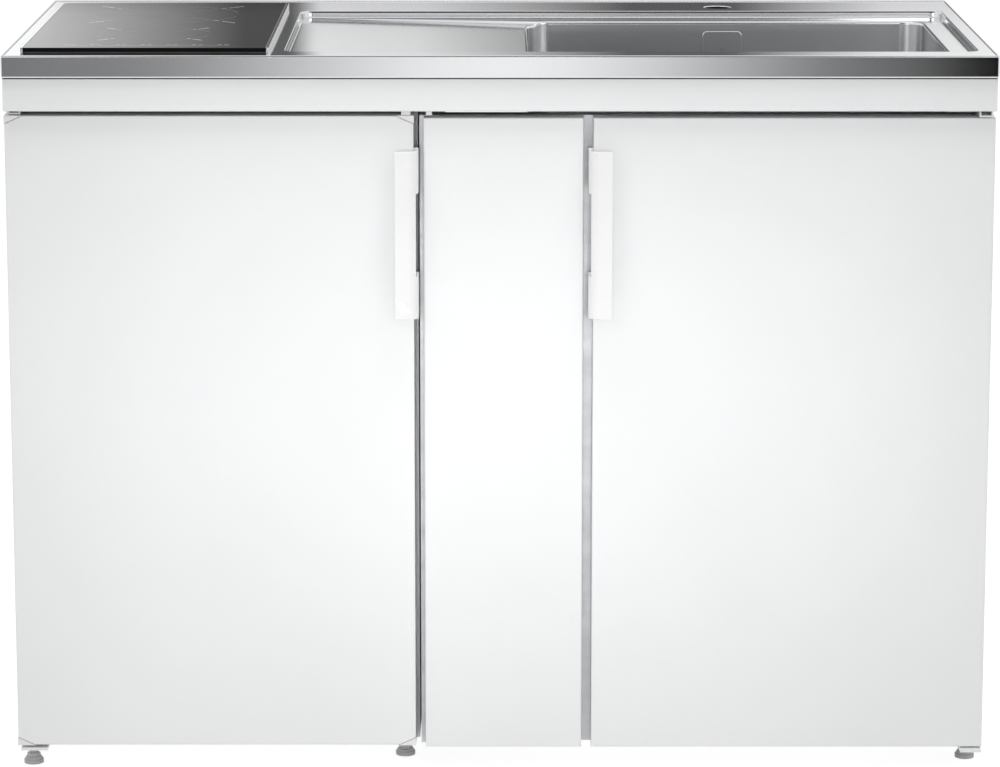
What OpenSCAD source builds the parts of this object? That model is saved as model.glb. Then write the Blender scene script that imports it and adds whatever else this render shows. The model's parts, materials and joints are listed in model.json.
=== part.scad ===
// Kitchenette unit: steel worktop with pressed sink and inset hob over a refrigerator and a sink cabinet.
// Units are millimetres. The origin is the footprint's centre on the floor, the front faces -Y, +Z is up.
// Depths are written as distances behind the worktop's front edge and turned into y by yb().

/* [Overall] */
// width over the worktop
unit_w = 1200; // [1000:10:1400]
// depth of the worktop, front edge to wall
unit_d = 600; // [550:10:700]
// height of the worktop's deck above the floor
unit_h = 900; // [850:5:950]
// width of the refrigerator module
fridge_w = 498; // [440:1:560]
// gap between the two modules
module_gap = 2; // [1:0.5:10]
// distance the handles stand in front of the worktop
handle_proud = 18; // [12:1:30]

/* [Worktop] */
// thickness of the steel sheet
sheet_t = 1; // [0.8:0.1:1.5]
// height of the front, side and back aprons
apron_h = 26; // [20:1:40]
// height of the drip bead along the edges
bead_h = 1.2; // [0.5:0.1:4]
// width of the drip bead
bead_w = 6; // [3:0.5:12]
// width of the front deck
deck_front = 50; // [40:1:70]
// distance from the recess to the back edge
deck_rear = 116; // [90:1:130]
// distance from the hob to the recess
recess_hob_gap = 18.5; // [16:0.5:40]
// distance from the recess to the right edge
recess_side = 19; // [15:1:40]
// depth of the recess below the deck
recess_depth = 8; // [5:0.5:12]
// corner radius of the recess
recess_r = 15; // [8:1:30]
// drop of the drainer from its left end to the bowl
drainer_drop = 6; // [4:0.5:9]
// distance from the recess's left side to the drainer
drainer_inset = 21; // [12:1:60]
// radius of the tap hole
tap_hole_r = 17.5; // [16:0.5:19]
// distance of the tap hole's centre to the left of the bowl's centre
tap_offset = 3.5; // [0:0.5:20]
// distance of the tap hole's centre from the back edge
tap_back = 72; // [50:1:80]

/* [Sink] */
// width of the bowl
bowl_w = 515; // [400:1:540]
// distance from the bowl's right side to the recess's right side
bowl_side = 31; // [25:1:60]
// distance from the bowl's front to the recess's front
bowl_front = 33; // [25:1:60]
// distance from the bowl's back to the recess's back
bowl_rear = 51; // [36:1:80]
// depth of the bowl below the recess
bowl_depth = 170; // [140:1:200]
// upright corner radius of the bowl
bowl_r = 28; // [20:1:45]
// radius between the bowl's walls and floor
bowl_fillet = 14; // [10:1:25]
// radius of the waste hole
waste_hole_r = 44; // [40:1:48]
// side of the square overflow cover
overflow_w = 52; // [45:1:60]
// distance from the rim down to the overflow cover
overflow_drop = 12; // [10:1:25]
// outer radius of the waste pipe
waste_pipe_r = 20; // [16:1:20]
// distance of the waste pipe's centre line below the bowl
waste_drop = 122; // [110:1:150]
// upward travel that lifts the strainer basket out
basket_lift = 60; // [40:1:80]

/* [Hob] */
// distance of the hob from the left edge
hob_side = 20.5; // [15:0.5:40]
// width of the hob
hob_w = 300; // [288:1:310]
// front of the hob, behind the front edge
hob_d0 = 31; // [28:1:40]
// depth of the hob
hob_d = 485; // [480:1:520]
// thickness of the glass
glass_t = 5; // [4:0.5:6]
// height of the seal under the glass
seal_t = 2; // [1:0.5:3]
// width of each bright side trim
trim_w = 3; // [2:0.5:6]
// distance from the hob's edge to the cut-out
cutout_inset = 15; // [12:1:20]
// depth of the hob's case below the deck
hob_case_h = 50; // [45:1:60]

/* [Frame under the worktop] */
// height of the white front fascia
fascia_h = 39.5; // [35:0.5:60]
// distance of the fascia behind the worktop's edge
fascia_d = 5; // [2:1:15]
// sheet thickness of the frame rails
rail_t = 1.5; // [1:0.1:2]
// gap between the apron's lower edge and the fascia
fascia_gap = 1.7; // [1:0.1:4]
// thickness of the blocks between the frame and the modules
rest_t = 8.8; // [6:0.1:12]
// distance between the two wall fixing holes
wall_hole_span = 1000; // [800:10:1100]
// radius of the wall fixing holes
wall_hole_r = 4.5; // [3:0.5:6]

/* [Doors] */
// distance of the door fronts behind the worktop's edge
door_d = 15; // [10:1:20]
// distance of the refrigerator door's edge inside its module's right side
fridge_door_side = 4.5; // [1:0.5:8]
// thickness of the refrigerator door without its seal
fridge_door_t = 40; // [35:1:60]
// distance of the refrigerator door's lower edge above the modules' undersides
fridge_door_low = 4; // [3:0.5:12]
// height of the refrigerator door over its module
fridge_door_over = 2; // [0:0.5:3]
// gap between the filler panel and the cabinet door
door_filler_gap = 12; // [4:0.5:14]
// thickness of the cabinet door
cab_door_t = 20; // [16:1:22]
// distance of the cabinet door's lower edge above the modules' undersides
cab_door_low = 1.5; // [1:0.5:12]
// distance of the cabinet door's upper edge below its module's top
cab_door_under = 0.5; // [0:0.5:4]
// distance of the filler panel inside its module's left side
filler_inset = 5.6; // [1:0.2:8]
// width of the fixed filler panel
filler_w = 193.4; // [100:0.2:240]
// distance of both hinge axes inside the doors' outer edges
hinge_inset = 8; // [7:1:14]
// radius of the hinge pins
pin_r = 3.5; // [3:0.5:5]
// running clearance of the hinge pins and foot stems
run_gap = 0.07; // [0.03:0.01:0.1]

/* [Handles] */
// height of the handles
handle_h = 205; // [160:1:260]
// distance of the handles' upper ends below the modules' tops
handle_top = 37; // [20:1:80]
// width of the handle's front face
handle_w = 26; // [20:1:34]
// thickness of the handle's strip
handle_t = 2.5; // [2:0.1:4]
// outer radius of the handle's bend
handle_r = 12; // [8:1:16]
// height of each of the two lugs that reach the door
lug_h = 52; // [40:1:70]
// depth behind the handle's face where the cut for the fingers starts
finger_cut = 4.3; // [2.6:0.1:10]

/* [Feet] */
// height of the modules' undersides above the floor
base_z = 33; // [28:1:45]
// radius of the foot discs
foot_r = 12.25; // [10:0.25:20]
// height of the foot discs
foot_h = 8; // [6:0.5:12]
// radius of the foot stems
stem_r = 5; // [4:0.5:6]
// front left foot of the refrigerator, behind the front edge
foot_fl_d = 64; // [60:1:90]
// front right foot of the refrigerator, behind the front edge
foot_fr_d = 99; // [80:1:120]
// front right foot of the cabinet, behind the front edge
foot_cab_d = 87; // [70:1:110]

/* [Refrigerator inside] */
// thickness of the insulated side walls
fridge_wall = 38; // [30:1:45]
// thickness of the moulded liner
liner_t = 1.5; // [1:0.1:2]
// height of the step over the compressor, above the floor
step_z = 289.5; // [260:0.5:320]
// depth of the door racks
rack_d = 62; // [50:1:75]
// outward travel of the crisper drawer behind the closed door
crisper_travel = 60; // [30:1:66]

/* [Output] */
// node to draw, or all of them

/* [Hidden] */
$fn = 64;
e = 0.01;
function yb(v) = v - (unit_d + handle_proud) / 2 + handle_proud;
x_left = -unit_w / 2;
x_right = unit_w / 2;
top_z = unit_h;
deck_under = top_z - sheet_t;
recess_z = top_z - recess_depth;
apron_z = top_z - apron_h;
fascia_z1 = apron_z - fascia_gap;
fascia_z0 = fascia_z1 - fascia_h;
fascia_back = fascia_d + 51;
module_top = fascia_z0 - rest_t;
core_z0 = fascia_z1;
body_d0 = door_d + fridge_door_t + 7;
body_d1 = unit_d - 15;
fx0 = x_left + 2;
fx1 = fx0 + fridge_w;
cx0 = fx1 + module_gap;
cx1 = x_right - 1;
carcass_d0 = door_d + 24;
door_left = x_left + 1;
door_right = x_right - 1;
fd_x1 = fx1 - fridge_door_side;
fridge_door_z0 = base_z + fridge_door_low;
fridge_door_z1 = module_top + fridge_door_over;
cab_door_z0 = base_z + cab_door_low;
cab_door_z1 = module_top - cab_door_under;
filler_x0 = cx0 + filler_inset;
filler_x1 = filler_x0 + filler_w;
cab_door_x0 = filler_x1 + door_filler_gap;
pad_z0 = fridge_door_z1 + 0.8;
handle_z0 = module_top - handle_top - handle_h;
hob_x0 = x_left + hob_side;
hob_x1 = hob_x0 + hob_w;
recess_x0 = hob_x1 + recess_hob_gap;
recess_x1 = x_right - recess_side;
recess_back = unit_d - deck_rear;
bowl_x1 = recess_x1 - bowl_side;
bowl_x0 = bowl_x1 - bowl_w;
bowl_d0 = deck_front + bowl_front;
bowl_d1 = recess_back - bowl_rear;
drainer_x0 = recess_x0 + drainer_inset;
drainer_len = bowl_x0 - 1 - drainer_x0;
drainer_angle = atan(drainer_drop / drainer_len);
bowl_bottom = recess_z - bowl_depth;
bowl_cx = (bowl_x0 + bowl_x1) / 2;
bowl_cd = (bowl_d0 + bowl_d1) / 2;
tap_x = bowl_cx - tap_offset;
tap_d = unit_d - tap_back;
waste_pipe_z = bowl_bottom - waste_drop;
hob_d1 = hob_d0 + hob_d;
cut_x0 = hob_x0 + cutout_inset;
cut_x1 = hob_x1 - cutout_inset;
cut_d0 = hob_d0 + cutout_inset + 4;
cut_d1 = hob_d1 - cutout_inset;
hob_cx = (hob_x0 + hob_x1) / 2;
cav_x0 = fx0 + fridge_wall;
cav_x1 = fx1 - fridge_wall;
cav_cx = (cav_x0 + cav_x1) / 2;
cav_d1 = body_d1 - 45;
cav_z0 = base_z + 42;
cav_z1 = module_top - 39;
step_d = cav_d1 - 163.5;
step_back = step_d + 43.5;
back_z0 = step_z - 39.5;
shelf_d0 = body_d0 + 88;
shelf_top = cav_z1 - 185;
shelf_zs = [step_z, (step_z + shelf_top) / 2, shelf_top];
rib_x0 = cav_x0 + 12;
rib_x1 = cav_x1 - 12;
liner_face = door_d + fridge_door_t;
fh_x = door_left + hinge_inset;
fh_d = 33;
ch_x = door_right - hinge_inset;
ch_d = door_d + cab_door_t / 2;
plate_z0 = base_z - 4;
stem_top = base_z + 15;
feet_x = [fx0 + 12, fx1 - 19.5, fx0 + 15, fx1 - 19.5, cx0 + 20, cx1 - 12.5, cx0 + 20, cx1 - 14];
foot_rear_d = body_d1 - 35;
feet_d = [foot_fl_d, foot_fr_d, foot_rear_d, foot_rear_d, 150, foot_cab_d, foot_rear_d, foot_rear_d];
floor_z = base_z + 17.8;
post_x0 = filler_x1 - 17;
post_x1 = cab_door_x0 + 17;
rack_low = cav_z0 + 20;
rack_high = cav_z1 - 225;
racks = [
    [rack_low, liner_face + rack_d + 1],
    [(rack_low + rack_high) / 2, liner_face + rack_d - 5],
    [rack_high, liner_face + rack_d - 5]];
th_x0 = cav_cx - 71;
th_x1 = cav_cx + 69;
th_d0 = cav_d1 - 240;
th_d1 = cav_d1 - 70;
th_z0 = cav_z1 - 40;
knob_x = cav_cx + 34;
knob_z = cav_z1 - 20;
comp_d = body_d1 - 83;

// ---------- shared shapes ----------

// box between two corners, depths behind the front edge
module block(x0, x1, d0, d1, z0, z1) {
    translate([x0, yb(d0), z0]) cube([x1 - x0, d1 - d0, z1 - z0]);
}

// quarter of a cylinder that fills the first quadrant before it is turned
module quarter(r, h, a) {
    rotate([0, 0, a]) rotate_extrude(angle = 90) square([r, h]);
}

// box with rounded upright edges
module rounded_block(x0, x1, d0, d1, z0, z1, r) {
    h = z1 - z0;
    block(x0 + r, x1 - r, d0, d1, z0, z1);
    block(x0, x0 + r, d0 + r, d1 - r, z0, z1);
    block(x1 - r, x1, d0 + r, d1 - r, z0, z1);
    translate([x1 - r, yb(d1 - r), z0]) quarter(r, h, 0);
    translate([x0 + r, yb(d1 - r), z0]) quarter(r, h, 90);
    translate([x0 + r, yb(d0 + r), z0]) quarter(r, h, 180);
    translate([x1 - r, yb(d0 + r), z0]) quarter(r, h, 270);
}

// tube or post standing on z0
module post(x, d, z0, z1, r) {
    translate([x, yb(d), z0]) cylinder(r = r, h = z1 - z0);
}

// cylinder along y between two depths
module bar_y(x, z, d0, d1, r) {
    translate([x, yb(d0), z]) rotate([-90, 0, 0]) cylinder(r = r, h = d1 - d0);
}

// upright C channel of folded sheet: web in x, flanges towards dir
module folded_side(x, dir, d0, d1, z0, z1, t, flange) {
    xa = dir > 0 ? x : x - t;
    fa = dir > 0 ? x : x - flange;
    block(xa, xa + t, d0, d1, z0, z1);
    block(fa, fa + flange, d0, d0 + t, z0, z1);
    block(fa, fa + flange, d1 - t, d1, z0, z1);
    block(fa, fa + flange, d0, d1, z1 - t, z1);
    lip = dir > 0 ? fa + flange - t : fa;
    block(lip, lip + t, d0, d0 + 14, z0, z1);
}

// open-backed pan of folded sheet with returned edges
module door_pan(x0, x1, d0, d1, z0, z1, t, lip) {
    difference() {
        block(x0, x1, d0, d1, z0, z1);
        block(x0 + t, x1 - t, d0 + t, d1 - t, z0 + t, z1 - t);
        block(x0 + lip, x1 - lip, d1 - t - e, d1 + 1, z0 + lip, z1 - lip);
    }
}

// ---------- worktop ----------

// space above the sloping plane of the drainer
module above_drainer(lift) {
    translate([drainer_x0, yb(0), recess_z + lift]) rotate([0, drainer_angle, 0])
        translate([-40, -20, 0]) cube([drainer_len + 130, unit_d + 40, 40]);
}

// upright prism of the drainer's outline, grown by g
module drainer_prism(g) {
    x1 = bowl_x0 + bowl_r;
    d0 = deck_front + 22;
    d1 = recess_back - 32;
    pts = [
        [drainer_x0 - g, yb(d0 - g)], [x1 + g, yb(bowl_d0 + 3 - g)],
        [x1 + g, yb(bowl_d1 - 3 + g)], [drainer_x0 - g, yb(d1 + g)]];
    translate([0, 0, top_z - 30]) linear_extrude(height = 40) polygon(pts);
}

module worktop_sheet() {
    t = sheet_t;
    color([0.78, 0.79, 0.8]) difference() {
        union() {
            difference() {
                block(x_left, x_right, 0, unit_d, apron_z, top_z);
                block(x_left + t, x_right - t, t, unit_d - t, apron_z - 1, deck_under);
            }
            block(x_left + t, x_right - t, t, 12, apron_z, apron_z + t);
            difference() {
                block(x_left, x_right, 0, unit_d, top_z, top_z + bead_h);
                block(x_left + bead_w, x_right - bead_w, bead_w, unit_d - bead_w,
                    top_z - 1, top_z + bead_h + 1);
            }
            rounded_block(recess_x0 - t, recess_x1 + t, deck_front - t, recess_back + t,
                recess_z - t, top_z, recess_r + t);
            intersection() {
                drainer_prism(t);
                above_drainer(-t);
                block(recess_x0, bowl_x0 + bowl_r + t, deck_front, recess_back, top_z - 30, recess_z);
            }
        }
        rounded_block(recess_x0, recess_x1, deck_front, recess_back, recess_z, top_z + 2, recess_r);
        intersection() {
            drainer_prism(0);
            above_drainer(0);
        }
        rounded_block(bowl_x0 - 1, bowl_x1 + 1, bowl_d0 - 1, bowl_d1 + 1, top_z - 40, top_z + 2, bowl_r + 1);
        block(cut_x0, cut_x1, cut_d0, cut_d1, top_z - 10, top_z + 5);
        post(tap_x, tap_d, top_z - 10, top_z + 5, tap_hole_r);
    }
}

// strips of board under the decks, the recess and the drainer
module worktop_core() {
    z0 = core_z0;
    z1 = deck_under;
    g = 0.3;
    low = recess_z - sheet_t;
    pan = recess_z - drainer_drop - 2.5;
    x0 = x_left + sheet_t + 0.5;
    x1 = x_right - sheet_t - 0.5;
    rx0 = recess_x0 - sheet_t;
    rx1 = recess_x1 + sheet_t;
    front = deck_front - sheet_t - 1.5;
    rd1 = recess_back + sheet_t;
    rear = max(rd1, cut_d1) + 1;
    bx0 = bowl_x0 - 1;
    bx1 = bowl_x1 + 1;
    color([0.45, 0.42, 0.38]) difference() {
        union() {
            block(x0, x1, 12, front, z0, z1);
            block(x0, x1, 4, 12, z0, apron_z);
            block(x0, x1, sheet_t + 0.5, 12, apron_z + sheet_t, z1);
            block(x0, cut_x0, front + g, rear - g, z0, z1);
            block(cut_x1, rx0, front + g, rear - g, z0, z1);
            block(rx1, x1, front + g, rear - g, z0, z1);
            block(rx0 + g, rx1 - g, rd1, rear - g, z0, z1);
            block(rx0 + g, bx0, front + g, rd1 - g, z0, pan);
            block(bx0 + g, bx1, front + g, bowl_d0 - 1, z0, low);
            block(bx0 + g, bx1, bowl_d1 + 1, rd1 - g, z0, low);
            block(bx1 + g, rx1 - g, front + g, rd1 - g, z0, low);
            block(x0, x1, rear, unit_d - 1.5, z0, z1);
        }
        post(tap_x, tap_d, z0 - 1, z1 + 1, tap_hole_r);
    }
}

// ---------- sink ----------

// profile of the bowl's wall, fillet and floor, measured from the corner's centre
module bowl_profile() {
    t = 1;
    fo = bowl_fillet + t;
    ro = bowl_r + t;
    translate([ro - t, fo]) square([t, bowl_depth - fo]);
    translate([ro - fo, fo]) intersection() {
        difference() {
            circle(r = fo);
            circle(r = bowl_fillet);
        }
        translate([0, -fo]) square([fo, fo]);
    }
    square([ro - fo, t]);
}

module bowl_corner(x, d, a) {
    translate([x, yb(d), bowl_bottom]) rotate([0, 0, a]) rotate_extrude(angle = 90) bowl_profile();
}

// straight wall of length len, outward direction a
module bowl_wall(x, d, a, len) {
    translate([x, yb(d), bowl_bottom]) rotate([0, 0, a]) rotate([90, 0, 0])
        translate([0, 0, -len]) linear_extrude(height = len) bowl_profile();
}

module bowl_shell() {
    x0 = bowl_x0 + bowl_r;
    x1 = bowl_x1 - bowl_r;
    d0 = bowl_d0 + bowl_r;
    d1 = bowl_d1 - bowl_r;
    bowl_corner(x1, d1, 0);
    bowl_corner(x0, d1, 90);
    bowl_corner(x0, d0, 180);
    bowl_corner(x1, d0, 270);
    bowl_wall(x1, d0, 0, d1 - d0);
    bowl_wall(x1, d1, 90, x1 - x0);
    bowl_wall(x0, d1, 180, d1 - d0);
    bowl_wall(x0, d0, 270, x1 - x0);
    block(x0, x1, d0, d1, bowl_bottom, bowl_bottom + 1);
}

module sink_bowl() {
    oz = recess_z - overflow_drop - overflow_w / 2;
    color([0.72, 0.73, 0.74]) difference() {
        bowl_shell();
        intersection() {
            drainer_prism(0);
            above_drainer(0);
        }
        post(bowl_cx, bowl_cd, bowl_bottom - 5, bowl_bottom + 5, waste_hole_r);
        bar_y(tap_x + 1, oz, bowl_d1 - 5, bowl_d1 + 5, 13);
    }
}

module overflow_plate() {
    x0 = tap_x + 1 - overflow_w / 2;
    z1 = recess_z - overflow_drop;
    z0 = z1 - overflow_w;
    r = 7;
    color([0.8, 0.81, 0.82]) {
        difference() {
            union() {
                block(x0, x0 + overflow_w, bowl_d1 - 5.5, bowl_d1 - 4, z0, z1 - r);
                block(x0 + r, x0 + overflow_w - r, bowl_d1 - 5.5, bowl_d1 - 4, z1 - r, z1);
                bar_y(x0 + r, z1 - r, bowl_d1 - 5.5, bowl_d1 - 4, r);
                bar_y(x0 + overflow_w - r, z1 - r, bowl_d1 - 5.5, bowl_d1 - 4, r);
            }
            bar_y(tap_x + 1, (z0 + z1) / 2, bowl_d1 - 7, bowl_d1 - 3, 3);
        }
        bar_y(x0 + 10, z0 + 10, bowl_d1 - 4, bowl_d1, 3);
        bar_y(x0 + overflow_w - 10, z0 + 10, bowl_d1 - 4, bowl_d1, 3);
        bar_y(x0 + overflow_w / 2, z1 - 6, bowl_d1 - 4, bowl_d1, 3);
    }
}

module overflow_pipe() {
    oz = recess_z - overflow_drop - overflow_w / 2;
    low = bowl_bottom - 24;
    color([0.85, 0.85, 0.84]) {
        difference() {
            union() {
                bar_y(tap_x + 1, oz, bowl_d1 + 1, bowl_d1 + 26, 17);
                post(tap_x + 1, bowl_d1 + 14, low, oz, 11);
                bar_y(tap_x + 1, low, bowl_cd + 44, bowl_d1 + 14, 11);
                translate([tap_x + 1, yb(bowl_d1 + 14), low]) sphere(r = 11);
            }
            bar_y(tap_x + 1, oz, bowl_d1, bowl_d1 + 24, 15);
            post(tap_x + 1, bowl_d1 + 14, low, oz, 9);
            bar_y(tap_x + 1, low, bowl_cd + 43, bowl_d1 + 14, 9);
        }
    }
}

module waste_body() {
    h = 46;
    sz = bowl_bottom - 24;
    color([0.82, 0.82, 0.83]) difference() {
        union() {
            translate([bowl_cx, yb(bowl_cd), bowl_bottom]) rotate_extrude() union() {
                translate([40, 1]) square([17, 1.5]);
                translate([40, -h]) square([3, h + 1]);
                translate([19, -h]) square([21, 3]);
                translate([16.5, -h - 40]) square([3, 43]);
                translate([43, -4]) square([9, 4]);
            }
            bar_y(tap_x + 1, sz, bowl_cd + 38, bowl_cd + 62, 14);
        }
        post(bowl_cx, bowl_cd, sz - 15, sz + 15, 40);
        bar_y(tap_x + 1, sz, bowl_cd + 30, bowl_cd + 45, 9);
        bar_y(tap_x + 1, sz, bowl_cd + 44, bowl_cd + 63, 11);
    }
}

module strainer_basket() {
    color([0.8, 0.81, 0.82]) difference() {
        translate([bowl_cx, yb(bowl_cd), bowl_bottom]) rotate_extrude() union() {
            translate([36, 2.8]) square([12, 1.2]);
            translate([36, -22]) square([1.4, 25]);
            translate([0, -23.2]) square([37.4, 1.4]);
            translate([0, -22]) square([4, 24]);
            translate([0, 2]) square([9, 8]);
        }
        for (ring = [[12, 6], [21, 12], [30, 18]])
            for (i = [0 : ring[1] - 1])
                rotate_about(bowl_cx, bowl_cd, i * 360 / ring[1])
                    translate([ring[0], 0, bowl_bottom - 26]) cylinder(r = 2.2, h = 6, $fn = 24);
    }
}

// turn the children about an upright line
module rotate_about(x, d, a) {
    translate([x, yb(d), 0]) rotate([0, 0, a]) children();
}

// cup and inlet tube of the trap with its two union nuts
module bottle_trap() {
    top = bowl_bottom - 86;
    z = waste_pipe_z;
    color([0.9, 0.9, 0.89]) difference() {
        translate([bowl_cx, yb(bowl_cd), 0]) rotate_extrude() union() {
            translate([0, z - 120]) square([30, 3]);
            translate([27, z - 120]) square([5, 150]);
            translate([22, z + 27]) square([10, 3]);
            translate([20, z - 40]) square([3, top + 80 - z]);
        }
        bar_y(bowl_cx, waste_pipe_z, bowl_cd + 22, bowl_cd + 40, waste_pipe_r - 2);
    }
    color([0.93, 0.93, 0.92]) {
        difference() {
            translate([bowl_cx, yb(bowl_cd), top + 20]) cylinder(r = 30, h = 18, $fn = 12);
            post(bowl_cx, bowl_cd, top, top + 60, 22);
        }
        difference() {
            translate([bowl_cx, yb(bowl_cd + 29), z]) rotate([-90, 0, 0])
                cylinder(r = 28, h = 24, $fn = 12);
            bar_y(bowl_cx, z, bowl_cd + 20, bowl_cd + 60, waste_pipe_r);
            post(bowl_cx, bowl_cd, z - 100, z + 50, 31);
        }
    }
}

module waste_pipe() {
    color([0.6, 0.6, 0.6]) difference() {
        union() {
            bar_y(bowl_cx, waste_pipe_z, bowl_cd + 24, unit_d, waste_pipe_r);
            bar_y(bowl_cx, waste_pipe_z, bowl_cd + 54, bowl_cd + 58, waste_pipe_r + 4);
        }
        bar_y(bowl_cx, waste_pipe_z, bowl_cd + 22, unit_d + 1, waste_pipe_r - 2);
        post(bowl_cx, bowl_cd, waste_pipe_z - 100, waste_pipe_z + 100, 32);
    }
}

// ---------- hob ----------

module hob_glass() {
    z0 = top_z + seal_t;
    color([0.03, 0.03, 0.035]) block(hob_x0 + trim_w, hob_x1 - trim_w, hob_d0, hob_d1, z0, z0 + glass_t);
}

module hob_seal() {
    color([0.1, 0.1, 0.1]) difference() {
        block(hob_x0 + trim_w, hob_x1 - trim_w, hob_d0, hob_d1, top_z, top_z + seal_t);
        block(cut_x0 + e, cut_x1 - e, cut_d0 + e, cut_d1 - e, top_z - 1, top_z + seal_t + 1);
    }
}

module hob_trims() {
    z1 = top_z + seal_t + glass_t;
    color([0.8, 0.8, 0.8]) {
        block(hob_x0, hob_x0 + trim_w, hob_d0, hob_d1, top_z, z1);
        block(hob_x1 - trim_w, hob_x1, hob_d0, hob_d1, top_z, z1);
    }
}

// open-topped case with vent slots, and the spring clips that hold it in the cut-out
module hob_case() {
    z1 = top_z + seal_t;
    z0 = top_z - hob_case_h;
    color([0.7, 0.7, 0.71]) for (d = [cut_d0 + 90, cut_d1 - 110]) {
        block(cut_x0, cut_x0 + 2, d, d + 20, top_z - 24, top_z - 2);
        block(cut_x1 - 2, cut_x1, d, d + 20, top_z - 24, top_z - 2);
    }
    color([0.6, 0.61, 0.62]) difference() {
        block(cut_x0 + 2, cut_x1 - 2, cut_d0 + 2, cut_d1 - 2, z0, z1);
        block(cut_x0 + 3, cut_x1 - 3, cut_d0 + 3, cut_d1 - 3, z0 + 1, z1 + 1);
        for (i = [0 : 7]) translate([i * 16, 0, 0])
            block(hob_cx - 60, hob_cx - 54, cut_d1 - 110, cut_d1 - 50, z0 - 1, z0 + 2);
    }
}

// flat winding on a disc carrier
module coil(d, r) {
    z1 = top_z + seal_t;
    translate([hob_cx, yb(d), 0]) rotate_extrude() union() {
        translate([0, z1 - 9]) square([r, 3]);
        for (i = [1 : floor((r - 12) / 9)]) translate([8 + i * 9, z1 - 6]) square([6, 6]);
    }
}

module hob_coils() {
    color([0.72, 0.42, 0.25]) {
        coil(172, 74);
        coil(383, 96);
    }
}

module hob_electronics() {
    z0 = top_z - hob_case_h + 1;
    color([0.15, 0.4, 0.22]) {
        block(cut_x0 + 12, cut_x1 - 12, cut_d0 + 10, cut_d0 + 230, z0 + 6, z0 + 8);
        for (p = [[20, 20], [20, 215], [225, 20], [225, 215]])
            post(cut_x0 + p[0] + 6, cut_d0 + p[1], z0, z0 + 6, 4);
        block(hob_cx - 20, hob_cx + 50, cut_d0 + 60, cut_d0 + 90, z0 + 8, z0 + 30);
        post(hob_cx, cut_d1 - 80, z0, z0 + 22, 38);
    }
}

// ---------- frame ----------

module fascia() {
    color([0.95, 0.95, 0.95]) {
        block(x_left + 1, x_right - 1, fascia_d, fascia_d + rail_t, fascia_z0, fascia_z1);
        block(x_left + 1, x_right - 1, fascia_d + rail_t, fascia_back, fascia_z0, fascia_z0 + rail_t);
        block(x_left + 1, x_right - 1, fascia_d + rail_t, 30, fascia_z1 - rail_t, fascia_z1);
        block(x_left + 4, x_right - 4, fascia_back - rail_t, fascia_back, fascia_z0 + rail_t, fascia_z0 + 12);
    }
}

// channel rail along y: web at x, flanges towards dir
module side_rail(x, dir, w) {
    t = rail_t;
    d0 = fascia_back;
    d1 = unit_d - 6;
    xw = dir > 0 ? x : x - t;
    xf = dir > 0 ? x : x - w;
    block(xw, xw + t, d0, d1, fascia_z0, fascia_z1);
    block(xf, xf + w, d0, d1, fascia_z0, fascia_z0 + t);
    block(xf, xf + w, d0, d1, fascia_z1 - t, fascia_z1);
}

module frame_rails() {
    xa = x_left + 1;
    xb = x_right - 1;
    d0 = fascia_d + rail_t;
    color([0.93, 0.93, 0.93]) {
        side_rail(xa, 1, 20);
        block(xa, xa + rail_t, d0, fascia_back, fascia_z0 + rail_t, fascia_z1 - rail_t);
        side_rail(xb, -1, 20);
        block(xb - rail_t, xb, d0, fascia_back, fascia_z0 + rail_t, fascia_z1 - rail_t);
        side_rail(fx1 - 20, 1, 42);
    }
}

module wall_rail() {
    color([0.9, 0.9, 0.9]) difference() {
        union() {
            block(x_left + 1, x_right - 1, unit_d - 6, unit_d - 3, fascia_z0, fascia_z1);
            block(x_left + 22, fx1 - 20, unit_d - 30, unit_d - 6, fascia_z0, fascia_z0 + rail_t);
            block(fx1 + 22, x_right - 22, unit_d - 30, unit_d - 6, fascia_z0, fascia_z0 + rail_t);
        }
        for (s = [-1, 1])
            bar_y(s * wall_hole_span / 2, (fascia_z0 + fascia_z1) / 2, unit_d - 10, unit_d, wall_hole_r);
    }
}

module rest_blocks() {
    color([0.92, 0.92, 0.92]) {
        for (d = [body_d0 + 23, body_d1 - 55]) {
            block(fx0 + 1, fx0 + 18, d, d + 30, module_top, fascia_z0);
            block(fx1 - 18, fx1 - 2, d, d + 30, module_top, fascia_z0);
            block(cx0 + 2, cx0 + 19, d, d + 30, module_top, fascia_z0);
            block(cx1 - 18, cx1 - 1, d, d + 30, module_top, fascia_z0);
        }
        block(fx1 - 19.4, fx1 - 8, door_d + 1, door_d + 13, pad_z0, fascia_z0);
        block(cx0 + 8.6, cx0 + 16, door_d + 1, door_d + 13, pad_z0, fascia_z0);
    }
}

// ---------- refrigerator ----------

module fridge_shell() {
    lo = liner_t;
    color([0.86, 0.86, 0.86]) difference() {
        block(fx0, fx1, body_d0, body_d1, base_z, module_top);
        block(fx0 + 1, fx1 - 1, body_d0 + 1, body_d1 + 1, base_z - 1, module_top - 1);
        block(cav_x0 - lo, cav_x1 + lo, body_d0 - 1, body_d0 + 2, cav_z0 - lo, cav_z1 + lo);
    }
}

module fridge_base() {
    color([0.6, 0.6, 0.61]) difference() {
        union() {
            difference() {
                block(fx0 + 1, fx1 - 1, body_d0 + 1, body_d1 - 2, base_z, base_z + 17.5);
                block(fx0 + 2.2, fx1 - 2.2, body_d0 + 2.2, body_d1 - 3.2, base_z + 1.5, base_z + 18);
            }
            for (i = [1 : 3]) post(feet_x[i], feet_d[i], base_z + 1.5, base_z + 16.5, 9);
        }
        for (i = [1 : 3]) post(feet_x[i], feet_d[i], base_z - 1, base_z + 20, stem_r + run_gap);
    }
}

module fridge_back() {
    color([0.3, 0.3, 0.31]) block(fx0 + 1, fx1 - 1, body_d1 - 2, body_d1 - 1, back_z0, module_top - 1);
}

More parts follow.
